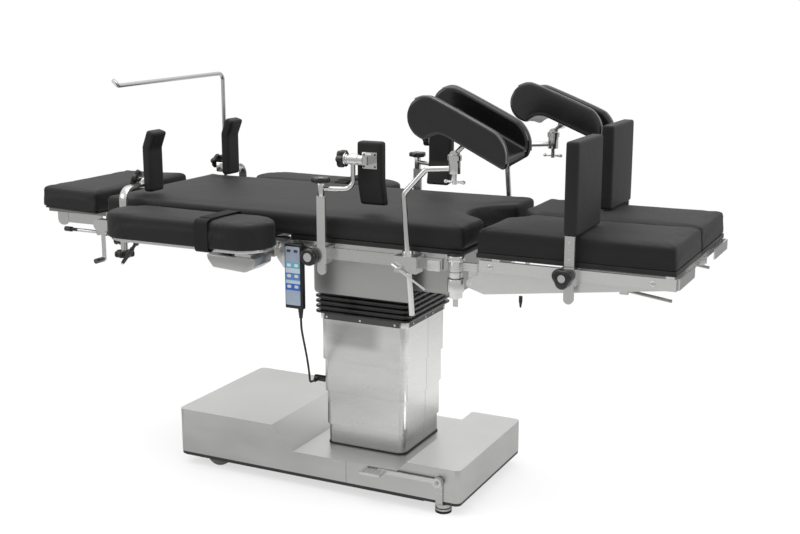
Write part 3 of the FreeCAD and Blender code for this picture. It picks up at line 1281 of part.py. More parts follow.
def check_and_write():
    doc.recompute()
    broken = [thing.Label for thing in doc.Objects if "Invalid" in thing.State or "Error" in thing.State]
    if broken:
        raise ValueError("failed objects: " + ", ".join(broken))
    os.makedirs("parts", exist_ok=True)
    for node, thing in nodes.items():
        shape = thing.Shape
        if shape.isNull() or not shape.isValid() or not shape.Solids:
            raise ValueError(node + " has no valid solid")
        shape.exportStep("parts/%s.step" % node)
    print(len(nodes), "nodes")


build()
check_and_write()
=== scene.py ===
import math

import bmesh
import bpy
import numpy
from mathutils import Matrix, Vector


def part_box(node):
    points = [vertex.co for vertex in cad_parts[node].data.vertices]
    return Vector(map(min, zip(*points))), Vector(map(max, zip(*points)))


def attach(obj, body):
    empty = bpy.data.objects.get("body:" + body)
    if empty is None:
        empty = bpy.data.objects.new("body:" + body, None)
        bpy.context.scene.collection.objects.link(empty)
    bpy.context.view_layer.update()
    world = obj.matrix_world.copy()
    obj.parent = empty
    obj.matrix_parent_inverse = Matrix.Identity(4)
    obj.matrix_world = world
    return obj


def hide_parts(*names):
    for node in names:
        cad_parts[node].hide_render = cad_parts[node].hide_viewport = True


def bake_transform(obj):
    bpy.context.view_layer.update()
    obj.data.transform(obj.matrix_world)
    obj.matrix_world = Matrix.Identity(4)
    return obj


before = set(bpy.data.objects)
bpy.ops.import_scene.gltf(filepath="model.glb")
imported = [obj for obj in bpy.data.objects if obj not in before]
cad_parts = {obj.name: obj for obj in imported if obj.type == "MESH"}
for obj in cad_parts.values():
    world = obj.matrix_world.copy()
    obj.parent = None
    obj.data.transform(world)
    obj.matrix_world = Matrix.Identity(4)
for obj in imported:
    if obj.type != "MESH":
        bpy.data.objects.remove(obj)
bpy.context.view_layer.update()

# Studio: a white room with a large soft lamp above and two at the sides, and the
# camera standing at the foot end's near side, a little above the table top.

scene = bpy.context.scene
scene.view_settings.view_transform = "Standard"
lens = bpy.data.cameras.new("camera")
lens.lens = 54.12
lens.sensor_width = 36.0
lens.clip_end = 60
camera = bpy.data.objects.new("camera", lens)
camera.location = (1.5613, -2.9015, 1.3173)
camera.rotation_euler = (math.radians(90 - 12.53), 0, math.radians(26.25))
scene.collection.objects.link(camera)
scene.camera = camera


class Wire:
    """A shader socket that takes Python's operators as Math nodes."""

    def __init__(self, finish, socket):
        self.finish = finish
        self.socket = socket

    def maths(self, operation, *values):
        return self.finish.node("ShaderNodeMath", {"operation": operation}, dict(enumerate(values)))

    def __add__(self, other):
        return self.maths("ADD", self, other)

    __radd__ = __add__

    def __sub__(self, other):
        return self.maths("SUBTRACT", self, other)

    def __rsub__(self, other):
        return self.maths("SUBTRACT", other, self)

    def __mul__(self, other):
        return self.maths("MULTIPLY", self, other)

    __rmul__ = __mul__

    def __abs__(self):
        return self.maths("ABSOLUTE", self)

    def most(self, other):
        return self.maths("MAXIMUM", self, other)

    def ramp(self, low, high):
        """0 at low, 1 at high, smooth between."""
        return self.finish.node("ShaderNodeMapRange", {"interpolation_type": "SMOOTHSTEP"},
                                {"Value": self, "From Min": low, "From Max": high})

    def within(self, low, high, soft=0.0006):
        """1 between low and high, 0 outside."""
        return self.ramp(low - soft, low) * (1 - self.ramp(high, high + soft))


class Finish:
    """A material or world built from nodes, with one method for any node."""

    def __init__(self, name, owner=None):
        self.owner = owner or bpy.data.materials.new(name)
        self.owner.use_nodes = True
        self.tree = self.owner.node_tree
        self.tree.nodes.clear()
        kind = "ShaderNodeOutputWorld" if owner else "ShaderNodeOutputMaterial"
        self.end = self.tree.nodes.new(kind)

    def node(self, kind, settings=None, inputs=None, output=0):
        made = self.tree.nodes.new(kind)
        for key, value in (settings or {}).items():
            setattr(made, key, value)
        for key, value in (inputs or {}).items():
            socket = made.inputs[key]
            if isinstance(value, Wire):
                self.tree.links.new(value.socket, socket)
            elif isinstance(value, tuple) and len(value) == 3 and socket.type == "RGBA":
                socket.default_value = (*value, 1)
            else:
                socket.default_value = value
        return Wire(self, made.outputs[output])

    def show(self, shader):
        self.tree.links.new(shader.socket, self.end.inputs["Surface"])
        return self.owner

    def place(self, scale=(1, 1, 1)):
        """Object coordinates in metres, stretched by scale."""
        where = self.node("ShaderNodeTexCoord", output="Object")
        return self.node("ShaderNodeMapping", {}, {"Vector": where, "Scale": scale})

    def axis(self, name, source="Object"):
        where = self.node("ShaderNodeTexCoord", output=source)
        return self.node("ShaderNodeSeparateXYZ", {}, {"Vector": where}, name)

    def facing(self, name):
        """How far the surface faces along one of the piece's axes, without sign."""
        return abs(self.axis(name, "Normal"))

    def noise(self, size, detail=3.0, stretch=(1, 1, 1), rough=0.5):
        scale = tuple(s / size for s in stretch)
        return self.node("ShaderNodeTexNoise", {},
                         {"Vector": self.place(scale), "Scale": 1.0, "Detail": detail, "Roughness": rough})

    def mix(self, mask, first, second):
        return self.node("ShaderNodeMix", {"data_type": "RGBA"},
                         {"Factor": mask, 6: first, 7: second}, 2)

    def bump(self, height, strength, distance):
        return self.node("ShaderNodeBump", {}, {"Height": height, "Strength": strength, "Distance": distance})

    def surface(self, **inputs):
        named = {key.replace("_", " "): value for key, value in inputs.items()}
        return self.show(self.node("ShaderNodeBsdfPrincipled", {}, named))


room = Finish("room", bpy.data.worlds.new("room"))
scene.world = room.owner
seen, glossy, clear_ray = [room.node("ShaderNodeLightPath", output=name) for name in
                           ("Is Camera Ray", "Is Glossy Ray", "Is Transmission Ray")]
above = room.axis("Z", "Generated").ramp(-0.1, 0.8)
plain = above * 0.38 + 0.46
mirrored = glossy * (above * 0.42 + 0.52)
room.show(room.node("ShaderNodeBackground", {}, {
    "Color": (1.0, 1.0, 1.0), "Strength": seen.most(clear_ray).most(plain.most(mirrored))}))

for title, spot, aim, size, power in (
        ("lamp_above", (-0.4, -0.2, 3.4), (0, 0, 0.6), 3.2, 50),
        ("lamp_left", (-3.0, -2.6, 1.9), (0, 0, 0.7), 1.6, 16),
        ("lamp_right", (3.4, 0.2, 1.7), (0.2, 0, 0.5), 1.6, 30)):
    lamp = bpy.data.lights.new(title, "AREA")
    lamp.size = size
    lamp.energy = power
    thing = bpy.data.objects.new(title, lamp)
    thing.location = spot
    thing.rotation_euler = (Vector(aim) - Vector(spot)).to_track_quat("-Z", "Y").to_euler()
    scene.collection.objects.link(thing)


def mesh_piece(name, bm, material, body=None, sharp=40):
    """Turns a bmesh into a piece, shaded smooth but for its sharp edges."""
    bmesh.ops.recalc_face_normals(bm, faces=bm.faces)
    for edge in bm.edges:
        edge.smooth = edge.calc_face_angle(0) < math.radians(sharp)
    for face in bm.faces:
        face.smooth = True
    data = bpy.data.meshes.new(name)
    bm.to_mesh(data)
    bm.free()
    data.materials.append(material)
    piece = bpy.data.objects.new(name, data)
    scene.collection.objects.link(piece)
    if body:
        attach(piece, body)
    return piece


ground = bmesh.new()
bmesh.ops.create_circle(ground, cap_ends=True, segments=96, radius=9)
floor_white = Finish("floor_white")
far_out = floor_white.node("ShaderNodeVectorMath", {"operation": "LENGTH"},
                           {0: floor_white.place()}, "Value").ramp(0.7, 2.6)
paint = floor_white.node("ShaderNodeBsdfDiffuse", {}, {"Color": (0.93, 0.93, 0.93)})
glow = floor_white.node("ShaderNodeEmission", {}, {"Color": (1.0, 1.0, 1.0), "Strength": 0.3})
lit = floor_white.node("ShaderNodeAddShader", {}, {0: paint, 1: glow})
clear = floor_white.node("ShaderNodeBsdfTransparent")
floor = mesh_piece("floor", ground, floor_white.show(
    floor_white.node("ShaderNodeMixShader", {}, {0: far_out * 0.55 + 0.45, 1: lit, 2: clear})))
floor.location.z = -0.0005

# Lead of the hand controller: a limp PVC lead of 6 mm that leaves a ribbed strain
# relief under the controller, sags behind the near edge and ends in an angled plug.


def grey(level):
    """A grey with a touch of warmth."""
    return (level, level, level * 0.985)


def moulded(name, level, rough=0.42, grain=0.0012, depth=0.12, coat=0.0):
    """Moulded plastic or rubber with a fine skin and a little dust."""
    finish = Finish(name)
    skin = finish.noise(grain, 2.0)
    worn = finish.noise(0.05, 4.0)
    tint = finish.mix(worn.ramp(0.35, 0.75), grey(level), grey(level * 1.4 + 0.004))
    return finish.surface(Base_Color=tint, Roughness=worn * 0.16 + (rough - 0.08),
                          Specular_IOR_Level=0.4, Coat_Weight=coat, Coat_Roughness=0.12,
                          Normal=finish.bump(skin, depth, 0.0004))


def turned(name, base, axis, profile, material, body, sides=32):
    """A round piece: its profile is pairs of distance along the axis and radius."""
    bm = bmesh.new()
    turn = Vector(axis).to_track_quat("Z", "Y")
    rings = []
    for along, radius in profile:
        rings.append([bm.verts.new(Vector(base) + turn @ Vector(
            (radius * math.cos(math.tau * i / sides), radius * math.sin(math.tau * i / sides), along)))
            for i in range(sides)])
    for lower, upper in zip(rings, rings[1:]):
        for i in range(sides):
            j = (i + 1) % sides
            bm.faces.new((lower[i], lower[j], upper[j], upper[i]))
    bm.faces.new(rings[0])
    bm.faces.new(rings[-1])
    return mesh_piece(name, bm, material, body)


lead_route = [(-0.020, -0.282, 0.506), (-0.020, -0.282, 0.480), (-0.023, -0.270, 0.452),
              (-0.032, -0.246, 0.418), (-0.042, -0.220, 0.382), (-0.054, -0.192, 0.344),
              (-0.066, -0.166, 0.308), (-0.077, -0.146, 0.282), (-0.082, -0.129, 0.274),
              (-0.082, -0.109, 0.274)]


def smooth_curve(name, route, radius, material, sides=6):
    """A round lead or rod along one smooth spline through its route."""
    curve = bpy.data.curves.new(name, "CURVE")
    curve.dimensions = "3D"
    curve.bevel_depth = radius
    curve.bevel_resolution = sides
    curve.resolution_u = 12
    spline = curve.splines.new("NURBS")
    spline.points.add(len(route) - 1)
    for point, spot in zip(spline.points, route):
        point.co = (*spot, 1)
    spline.order_u = 3
    spline.use_endpoint_u = True
    piece = bpy.data.objects.new(name, curve)
    curve.materials.append(material)
    scene.collection.objects.link(piece)
    return piece


lead_black = moulded("lead_pvc", 0.012, 0.42, 0.002, 0.1)
lead = smooth_curve("lead", lead_route, 0.003, lead_black)
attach(lead, "seat")
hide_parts("handset_cord")
ribs = [(0.0026 * i, 0.0072 - 0.00028 * i + (0.0006 if i % 2 else -0.0002)) for i in range(10)]
turned("strain_relief", (-0.020, -0.282, 0.529), (0, 0, -1), ribs + [(0.027, 0.0038)], lead_black,
       "seat")

# Base: satin stainless sheet, folded over the wheels at the head end and over the
# feet at the foot end, with the black chassis and its rubber strips below.


# top and side are painted light: the sheet's shade on flats and on upright faces, lit and shaded copies of one
# colour.
def satin_steel(name, top=0.60, side=0.42, rough=0.34, depth=0.10, painted_reflection_strength=0.8, metal=0.92, zones=(), joints=(),
                grained=0.12):
    """Satin sheet: fine grain, painted cloudy reflections, flats and upright faces painted in two shades (painted
    light), zones of another shade and joint lines.

    A zone is a shade and a function that gives its mask; a joint is an axis, a place on it
    and the axis that its face looks along.
    """
    finish = Finish(name)
    # flat picks the painted light of the flats over that of the upright faces.
    flat = finish.facing("Z").ramp(0.5, 0.85)
    upright_grain = finish.noise(0.0011, 2.0, (0.006, 0.006, 1))
    flat_grain = finish.noise(0.0011, 2.0, (0.006, 1, 0.006))
    grain = upright_grain * (1 - flat) + flat_grain * flat
    # Painted reflection: large soft clouds of lighter and darker sheet.
    painted_reflection_cloud = finish.noise(0.26, 3.0, (0.55, 0.55, 1.5), 0.5)
    rub = finish.noise(0.035, 5.0, (0.35, 1, 1), 0.65).ramp(0.55, 0.8)
    tone = (grain - 0.5) * grained + (painted_reflection_cloud - 0.5) * painted_reflection_strength + 0.5
    # Painted light: upright faces take the side shade and flats the top shade, each mottled by grain and the painted
    # reflection cloud.
    base = finish.mix(flat, finish.mix(tone, grey(side * 0.62), grey(min(1, side * 1.38))),
                      finish.mix(tone, grey(top * 0.84), grey(min(1, top * 1.16))))
    for shade, mask in zones:
        base = finish.mix(mask(finish), base, grey(shade))
    height = grain
    for axis, spot, looks in joints:
        line = finish.axis(axis).within(spot - 0.0005, spot + 0.0005) * finish.facing(looks).ramp(0.6, 0.9)
        base = finish.mix(line, base, grey(side * 0.45))
        height = height - line * 2.0
    return finish.surface(Base_Color=base, Metallic=metal,
                          Roughness=grain * 0.10 + rub * 0.07 + (rough - 0.06),
                          Normal=finish.bump(height, depth, 0.00012))


def dress(material, *names, edge_width=0.0008):
    """Gives CAD nodes their finish, and breaks their sharp edges."""
    for name in names:
        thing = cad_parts[name]
        if not thing.material_slots:
            thing.data.materials.append(material)
        for place in thing.material_slots:
            place.material = material
        weld = thing.modifiers.new("weld", "WELD")
        weld.merge_threshold = 0.00002
        edge = thing.modifiers.new("edge", "BEVEL")
        edge.width = edge_width
        edge.segments = 2
        edge.limit_method = "ANGLE"
        edge.angle_limit = math.radians(38)
        edge.harden_normals = True


def prism(outline, low, high, axis="z"):
    """A straight solid between two levels on an axis, from an outline in the other two."""
    bm = bmesh.new()
    place = {"x": lambda a, b, c: (c, a, b), "y": lambda a, b, c: (a, c, b),
             "z": lambda a, b, c: (a, b, c)}[axis]
    floor_ring, roof_ring = [[bm.verts.new(place(a, b, level)) for a, b in outline]
                             for level in (low, high)]
    bm.faces.new(floor_ring)
    bm.faces.new(roof_ring)
    for i in range(len(outline)):
        j = (i + 1) % len(outline)
        bm.faces.new((floor_ring[i], floor_ring[j], roof_ring[j], roof_ring[i]))
    bmesh.ops.recalc_face_normals(bm, faces=bm.faces)
    return bm


def soften(bm, width, segments=3, angle=25, choose=None):
    """Rounds the edges that turn by more than the angle, or those among them that are chosen."""
    edges = [edge for edge in bm.edges
             if edge.calc_face_angle(0) > math.radians(angle) and (choose is None or choose(edge))]
    bmesh.ops.bevel(bm, geom=edges, offset=width, segments=segments, profile=0.5, affect="EDGES",
                    clamp_overlap=True)
    return bm


def round_box(a, b, radius, steps=6):
    """The outline of a rectangle with round corners, from its low corner a to its high corner b."""
    ring = []
    for turn, (u, v) in enumerate(((1, 1), (-1, 1), (-1, -1), (1, -1))):
        centre = ((b[0] if u > 0 else a[0]) - u * radius, (b[1] if v > 0 else a[1]) - v * radius)
        for i in range(steps + 1):
            angle = math.pi / 2 * (turn + i / steps)
            ring.append((centre[0] + radius * math.cos(angle), centre[1] + radius * math.sin(angle)))
    return ring


def plate(name, a, b, radius, low, high, axis, material, body, slot, edge=0.0006):
    """A flat piece with round corners and broken edges."""
    return mesh_piece(name, soften(prism(round_box(a, b, radius), low, high, axis), edge, 2, 60),
                      material, body)


def screw_heads(name, spots, axis, radius, body, material):
    """Round screw heads with a socket, all of one group in one piece."""
    heads = [turned(name, spot, axis, [(0, radius), (radius * 0.3, radius), (radius * 0.5, radius * 0.75),
                                       (radius * 0.5, radius * 0.42), (radius * 0.2, radius * 0.38)],
                    material, body, 16) for spot in spots]
    joined = bmesh.new()
    for head in heads:
        joined.from_mesh(head.data)
    for head in heads[1:]:
        bpy.data.objects.remove(head)
    for face in joined.faces:
        face.smooth = True
    joined.to_mesh(heads[0].data)
    joined.free()
    return heads[0]


bright = satin_steel("ground_steel", 0.72, 0.66, 0.15, 0.04, 0.5, 1.0)
base_steel = satin_steel("base_sheet", 0.82, 0.46, 0.33, painted_reflection_strength=1.0, joints=[("X", 0.077, "Y")])
dress(base_steel, "base_cover")
chassis_finish = Finish("chassis_coat")
bracket = 1 - chassis_finish.axis("Y").ramp(-0.2222, -0.2216)
speck = chassis_finish.noise(0.01, 3.0)
chassis_coat = chassis_finish.surface(
    Base_Color=chassis_finish.mix(bracket, chassis_finish.mix(speck, grey(0.012), grey(0.024)), grey(0.5)),
    Metallic=bracket * 0.9, Roughness=0.5 - bracket * 0.15 + speck * 0.08,
    Normal=chassis_finish.bump(chassis_finish.noise(0.0015), 0.1, 0.0003))
dress(chassis_coat, "base_chassis")
dress(moulded("tyre_grey", 0.10, 0.55), "wheels")
foot_steel = satin_steel("foot_steel", 0.6, 0.5, 0.3, zones=[
    (0.03, lambda finish: finish.axis("Z").within(0.0, 0.006) + finish.axis("Z").within(0.012, 0.0145))])
dress(foot_steel, "lock_feet")
dress(satin_steel("pedal_steel", 0.66, 0.55, 0.28), "brake_pedal")
screw_heads("bracket_screws", [(x, -0.2248, z) for x in (0.3495, 0.3605) for z in (0.060, 0.076)],
            (0, -1, 0), 0.0028, "base", bright)

# Column: four sheet covers that slide over each other, a dark collar with bright
# screws on top and a black rubber bellows under the tilt housing.


def band(name, outer, inner, low, high, axis, material, body, slot):
    """A flat strip closed round an outline, between two levels on an axis."""
    bm = bmesh.new()
    place = {"x": lambda a, b, c: (c, a, b), "z": lambda a, b, c: (a, b, c)}[axis]
    rings = [[bm.verts.new(place(a, b, level)) for a, b in ring]
             for ring, level in ((outer, low), (outer, high), (inner, high), (inner, low))]
    count = len(outer)
    for first, second in zip(rings, rings[1:] + rings[:1]):
        for i in range(count):
            j = (i + 1) % count
            bm.faces.new((first[i], first[j], second[j], second[i]))
    return mesh_piece(name, bm, material, body)


# Column sheet: painted shade towards the foot of the column, a painted dark reflection high on the near and far
# faces, and painted light on the end faces; the joint line is a real seam.
column_steel = satin_steel(
    "column_sheet", 0.7, 0.62, 0.30, painted_reflection_strength=1.2, joints=[("Y", 0.012, "X")],
    zones=[(0.26, lambda finish: (1 - finish.axis("Z").ramp(0.110, 0.165)) * 0.8),
           (0.28, lambda finish: finish.axis("Z").within(0.405, 0.445, 0.03) * finish.facing("Y").ramp(0.8, 0.98)
            * finish.axis("X").within(0.0, 0.10, 0.05) * 0.6),
           (0.90, lambda finish: finish.facing("X").ramp(0.4, 0.95) * finish.axis("Z").ramp(0.14, 0.24) * 0.8)])
dress(column_steel, "column_cover_low", "column_cover_second", "column_cover_third", "column_cover_top")
# Dark collar sheet; its rounded corners are painted bright (painted highlight).
collar_steel = satin_steel("collar_sheet", 0.4, 0.10, 0.35, zones=[
    (0.72, lambda finish: (finish.facing("X") * finish.facing("Y")).ramp(0.08, 0.3))])
dress(collar_steel, "column_collar")
collar_low, collar_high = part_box("column_collar")
wide, across = collar_high.x - collar_low.x, collar_high.y - collar_low.y
collar_level = 0.470
near_spots = [(collar_low.x + wide * share, collar_low.y, collar_level) for share in (0.10, 0.48, 0.87)]
screw_heads("collar_screws_near", near_spots, (0, -1, 0), 0.0032, "column_head", bright)
screw_heads("collar_screws_far", [(x, -y, z) for x, y, z in near_spots], (0, 1, 0), 0.0032, "column_head",
            bright)
screw_heads("collar_screws_end", [(collar_high.x, collar_low.y + across * share, collar_level)
                                  for share in (0.16, 0.45, 0.63, 0.90)], (1, 0, 0), 0.0032, "column_head",
                                  bright)
gasket_low, gasket_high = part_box("column_cover_low")
gasket_ring = [round_box((gasket_low.x - grow, gasket_low.y - grow),
                         (gasket_high.x + grow, gasket_high.y + grow),
                         0.020 + grow) for grow in (0.003, -0.0015)]
band("column_gasket", *gasket_ring, 0.0992, 0.1022, "z", moulded("gasket_black", 0.012, 0.5), "base",
     "black_rubber")
bellows_rubber = moulded("bellows_rubber", 0.008, 0.22, 0.003, 0.1, 0.5)
dress(bellows_rubber, "column_bellows", edge_width=0.0028)
dress(bright, "lift_ram", "lift_cylinder", "pitch_yoke")

# Tilt housing and side panels: satin sheet under the middle of the table top.

housing_steel = satin_steel("housing_sheet", 0.56, 0.46, 0.35, painted_reflection_strength=0.5)
dress(housing_steel, "tilt_frame", "side_skirts")

# Frames of the table top with their accessory rails, in ground stainless bar, and
# pale satin hinge posts at the corners of the seat.

pale = 0.74
rail_steel = satin_steel("rail_steel", 0.72, 0.62, 0.25, 0.03, 0.4, grained=0.0, zones=[
    (pale, lambda finish: finish.axis("X").within(0.384, 0.44, 0.002))])
dress(rail_steel, "seat_frame")
bar_steel = satin_steel("bar_steel", 0.74, 0.66, 0.24, 0.03, 0.4, grained=0.0)
dress(bar_steel, "back_frame", "seat_rail_clamps", "back_rail_clamps", "foot_clamp_near",
      "foot_clamp_far", "foot_bar_near", "foot_bar_far", "lateral_post_near", "lateral_post_far",
      "shoulder_arms")
# Leg sheet; the faces that look along the table are painted darker (painted shade).
leg_steel = satin_steel("leg_sheet", 0.85, 0.90, 0.24, 0.03, 0.2, 0.75, grained=0.0, zones=[
    (0.30, lambda finish: finish.facing("X").ramp(0.6, 0.9))])
dress(leg_steel, "leg_frame_near", "leg_frame_far")
dress(satin_steel("post_steel", 0.85, 0.85, 0.28, 0.03, 0.2, 0.6, grained=0.0), "leg_yoke_near", "leg_yoke_far")
post_black = moulded("post_black", 0.02, 0.4)
for name, side in (("near", -1), ("far", 1)):
    turned("post_cap_" + name, (0.409, side * 0.255, 0.7062), (0, 0, 1),
           [(0, 0.0205), (0.0035, 0.0205), (0.0055, 0.018)], post_black, "seat")
    # A black ring in the groove of the pale post: painted shade in the groove.
    turned("post_groove_" + name, (0.409, side * 0.255, 0.6645), (0, 0, 1),
           [(0, 0.0163), (0.0012, 0.0163)], post_black, "leg_swing_" + name)
    screw_heads("leg_rail_screws_" + name, [(x, side * 0.2709, 0.689) for x in (0.506, 0.903)],
                (0, side, 0), 0.0065, "leg_" + name, bright)
    turned("leg_stop_" + name, (0.578, side * 0.250, 0.620), (0, 0, -1),
           [(0, 0.0045), (0.012, 0.0045), (0.028, 0.002)], post_black, "leg_" + name)
    across_rail = sorted((side * 0.2683, side * 0.2740))
    plate("rail_stop_" + name, (0.339, 0.6645), (0.374, 0.6905), 0.003, *across_rail, "y",
          satin_steel("stop_" + name, 0.8, 0.8, 0.3, 0.1, 0.2, 0.5), "seat", "steel_sheet", 0.0015)

# Mattress sections: firm foam in coated cloth, sewn at the edges and glued to
# black boards. The long one is a single piece over seat and back.


def upholstery(name, level=0.0095, rough=0.58, seams_and_creases=()):
    """Coated cloth with a fine pebble, soft creases and flats painted lighter (painted light from above).

    Each seam and crease is an axis, a place on it and its lean along the height; the dark line of a crease is painted
    shade.
    """
    finish = Finish(name)
    pebble = finish.node("ShaderNodeTexVoronoi", {"feature": "SMOOTH_F1"},
                         {"Vector": finish.place(), "Scale": 620.0, "Smoothness": 0.6}, "Distance")
    soft = finish.noise(0.11, 3.0, (1, 1, 1), 0.5)
    crease = finish.noise(0.03, 5.0, (1, 1, 1), 0.55)
    worn = finish.noise(0.22, 5.0, (1, 1, 1), 0.6)
    base = finish.mix(worn.ramp(0.3, 0.75), grey(level), grey(level * 1.5))
    # Painted light: the flats are painted lighter than the sides, mottled by the worn noise.
    painted_top_light = finish.facing("Z").ramp(0.75, 1.0) * (worn * 0.5 + 0.6)
    base = finish.mix(painted_top_light, base, grey(level * 2.6))
    height = pebble * 0.35 + soft * 6.0 + crease * 0.7
    for axis, spot, lean in seams_and_creases:
        along = finish.axis(axis) - (finish.axis("Z") - 0.74) * lean
        line = along.within(spot - 0.0006, spot + 0.0006, 0.0008)
        base = finish.mix(line, base, grey(level * 0.3))
        height = height - line * 1.5
    return finish.surface(Base_Color=base, Roughness=worn * 0.14 + pebble * 0.1 + (rough - 0.12),
                          Specular_IOR_Level=0.28, Sheen_Weight=0.03, Sheen_Roughness=0.5,
                          Normal=finish.bump(height, 0.5, 0.0009))


def outline_distance(points, outline):
    """Each point's distance to the closed outline, in plan."""
    best = numpy.full(len(points), 1e9)
    for a, b in zip(outline, outline[1:] + outline[:1]):
        a, b = numpy.array(a), numpy.array(b)
        run = b - a
        share = numpy.clip(((points - a) @ run) / (run @ run), 0, 1)
        best = numpy.minimum(best, numpy.linalg.norm(points - (a + share[:, None] * run), axis=1))
    return best


def places(piece):
    """A piece's points as a table of coordinates."""
    flat = numpy.empty(len(piece.data.vertices) * 3)
    piece.data.vertices.foreach_get("co", flat)
    return flat.reshape(-1, 3)


def put_places(piece, spots):
    piece.data.vertices.foreach_set("co", spots.reshape(-1))
    piece.data.update()


def remesh(piece, voxel):
    """Gives a piece one even skin."""
    change = piece.modifiers.new("even", "REMESH")
    change.mode = "VOXEL"
    change.voxel_size = voxel
    change.use_smooth_shade = True
    bpy.context.view_layer.update()
    ready = piece.evaluated_get(bpy.context.evaluated_depsgraph_get())
    data = bpy.data.meshes.new_from_object(ready)
    old = piece.data
    piece.modifiers.clear()
    piece.data = data
    if not data.materials and old.materials:
        data.materials.append(old.materials[0])


def cushion(name, outline, low, top, material, soft=0.014, crown=0.004, waist=0.0015, voxel=0.006):
    """A foam block under cloth: round upper rim, crowned top, sides that pull in."""
    bm = prism(outline, low, top - crown * 0.6)
    soften(bm, soft, 5, 12, lambda edge: all(v.co.z > top - 0.02 for v in edge.verts)
           or abs(edge.verts[0].co.z - edge.verts[1].co.z) > 0.01)
    soften(bm, soft * 0.3, 3, 50, lambda edge: all(v.co.z < low + 0.0001 for v in edge.verts))
    piece = mesh_piece(name, bm, material)
    remesh(piece, voxel)
    spots = places(piece)
    away = outline_distance(spots[:, :2], outline)
    height = (spots[:, 2] - low) / (top - low)
    rise = crown * (1 - numpy.exp(-away / 0.05)) * numpy.clip((height - 0.5) * 2, 0, 1)
    spots[:, 2] += rise - crown * 0.4 * numpy.clip((height - 0.8) * 5, 0, 1)
    pull = waist * numpy.sin(numpy.clip(height, 0, 1) * math.pi) * numpy.exp(-away / 0.01)
    inward = numpy.array(outline).mean(axis=0) - spots[:, :2]
    inward /= numpy.linalg.norm(inward, axis=1)[:, None] + 1e-9
    spots[:, :2] += inward * pull[:, None]
    put_places(piece, spots)
    return piece


settle_frames = 16


def settle(pads, cap):
    """Lets pressure swell the cloth over the foam by at most cap, with the board side held."""
    for piece in pads:
        spots = places(piece)
        low, top = spots[:, 2].min(), spots[:, 2].max()
        held = piece.vertex_groups.new(name="held")
        held.add(numpy.flatnonzero(spots[:, 2] < low + 0.3 * (top - low)).tolist(), 1.0, "ADD")
        cloth = piece.modifiers.new("cloth", "CLOTH")
        cloth.settings.vertex_group_mass = "held"
        cloth.settings.quality = 4
        cloth.settings.bending_stiffness = 4.0
        cloth.settings.use_pressure = True
        cloth.settings.uniform_pressure_force = 4.0
        cloth.settings.effector_weights.gravity = 0.0
        cloth.point_cache.frame_end = settle_frames
    for step in range(1, settle_frames + 1):
        scene.frame_set(step)
    graph = bpy.context.evaluated_depsgraph_get()
    swollen = []
    for piece in pads:
        flat = numpy.empty(len(piece.data.vertices) * 3)
        piece.evaluated_get(graph).data.vertices.foreach_get("co", flat)
        swollen.append(flat.reshape(-1, 3))
    for piece, after in zip(pads, swollen):
        before = places(piece)
        move = after - before
        far = numpy.linalg.norm(move, axis=1)[:, None] + 1e-9
        piece.modifiers.clear()
        piece.vertex_groups.clear()
        put_places(piece, before + move / far * cap * numpy.tanh(far / cap))
    scene.frame_set(1)


def board(name, outline, body):
    """The black backing board under a cushion, with broken edges."""
    return mesh_piece(name, soften(prism(outline, board_low, board_top), 0.001, 2, 30), board_black,
                      body)


board_low, board_top, pad_top = 0.7062, 0.7185, 0.779
board_black = moulded("board_black", 0.010, 0.45)
cloth_black = upholstery("coated_cloth")
notch = [(0.430, -0.260), (0.430, -0.116), (0.370, -0.068), (0.358, -0.050), (0.350, -0.026), (0.347, 0),
         (0.350, 0.026), (0.358, 0.050), (0.370, 0.068), (0.430, 0.116), (0.430, 0.260)]
mattress = cushion("mattress", [(-0.672, 0.260), (-0.672, -0.260)] + notch, board_top, pad_top, cloth_black,
                   soft=0.011, voxel=0.008)
head_pad = cushion("head_pad", [(-0.962, -0.197), (-0.735, -0.225), (-0.735, 0.225), (-0.962, 0.197)],
                   0.7182, 0.779, cloth_black, soft=0.011)
leg_pads = {}
for name, side in (("near", -1), ("far", 1)):
    plan = [(x, y * side) for x, y in
            ((0.463, 0.260), (0.953, 0.260), (0.953, 0.002), (0.514, 0.002), (0.463, 0.076))]
    leg_pads[name] = cushion("leg_pad_" + name, plan, board_top, pad_top, cloth_black, soft=0.010)
settle([mattress, head_pad, *leg_pads.values()], 0.0025)

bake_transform(mattress)
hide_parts("seat_cushion", "back_cushion", "mattress_crease")
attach(head_pad, "headrest")
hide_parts("head_cushion")
for name, pad in leg_pads.items():
    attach(pad, "leg_" + name)
    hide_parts("leg_cushion_" + name)

board("seat_board", [(-0.06, -0.259), (0.429, -0.259), (0.429, -0.117), (0.369, -0.068), (0.349, 0),
                     (0.369, 0.068), (0.429, 0.117), (0.429, 0.259), (-0.06, 0.259)], "seat")
board("back_board", [(-0.671, -0.259), (-0.12, -0.259), (-0.12, 0.259), (-0.671, 0.259)], "back")
for name, side in (("near", -1), ("far", 1)):
    board("leg_board_" + name, [(x, y * side) for x, y in
                                ((0.464, 0.259), (0.952, 0.259), (0.952, 0.003), (0.515, 0.003),
                                 (0.464, 0.077))],
          "leg_" + name)

# Arm boards: long pads with round ends on a metal plate, each with a webbing strap,
# a release lever and a clamp knob below, and a folded bracket that carries them.


def stadium(start, end, y, half, steps=18):
    """An outline with half-round ends."""
    ring = []
    for centre, first in ((end, -math.pi / 2), (start, math.pi / 2)):
        for i in range(steps + 1):
            turn = first + math.pi * i / steps
            ring.append((centre + half * math.cos(turn), y + half * math.sin(turn)))
    return ring


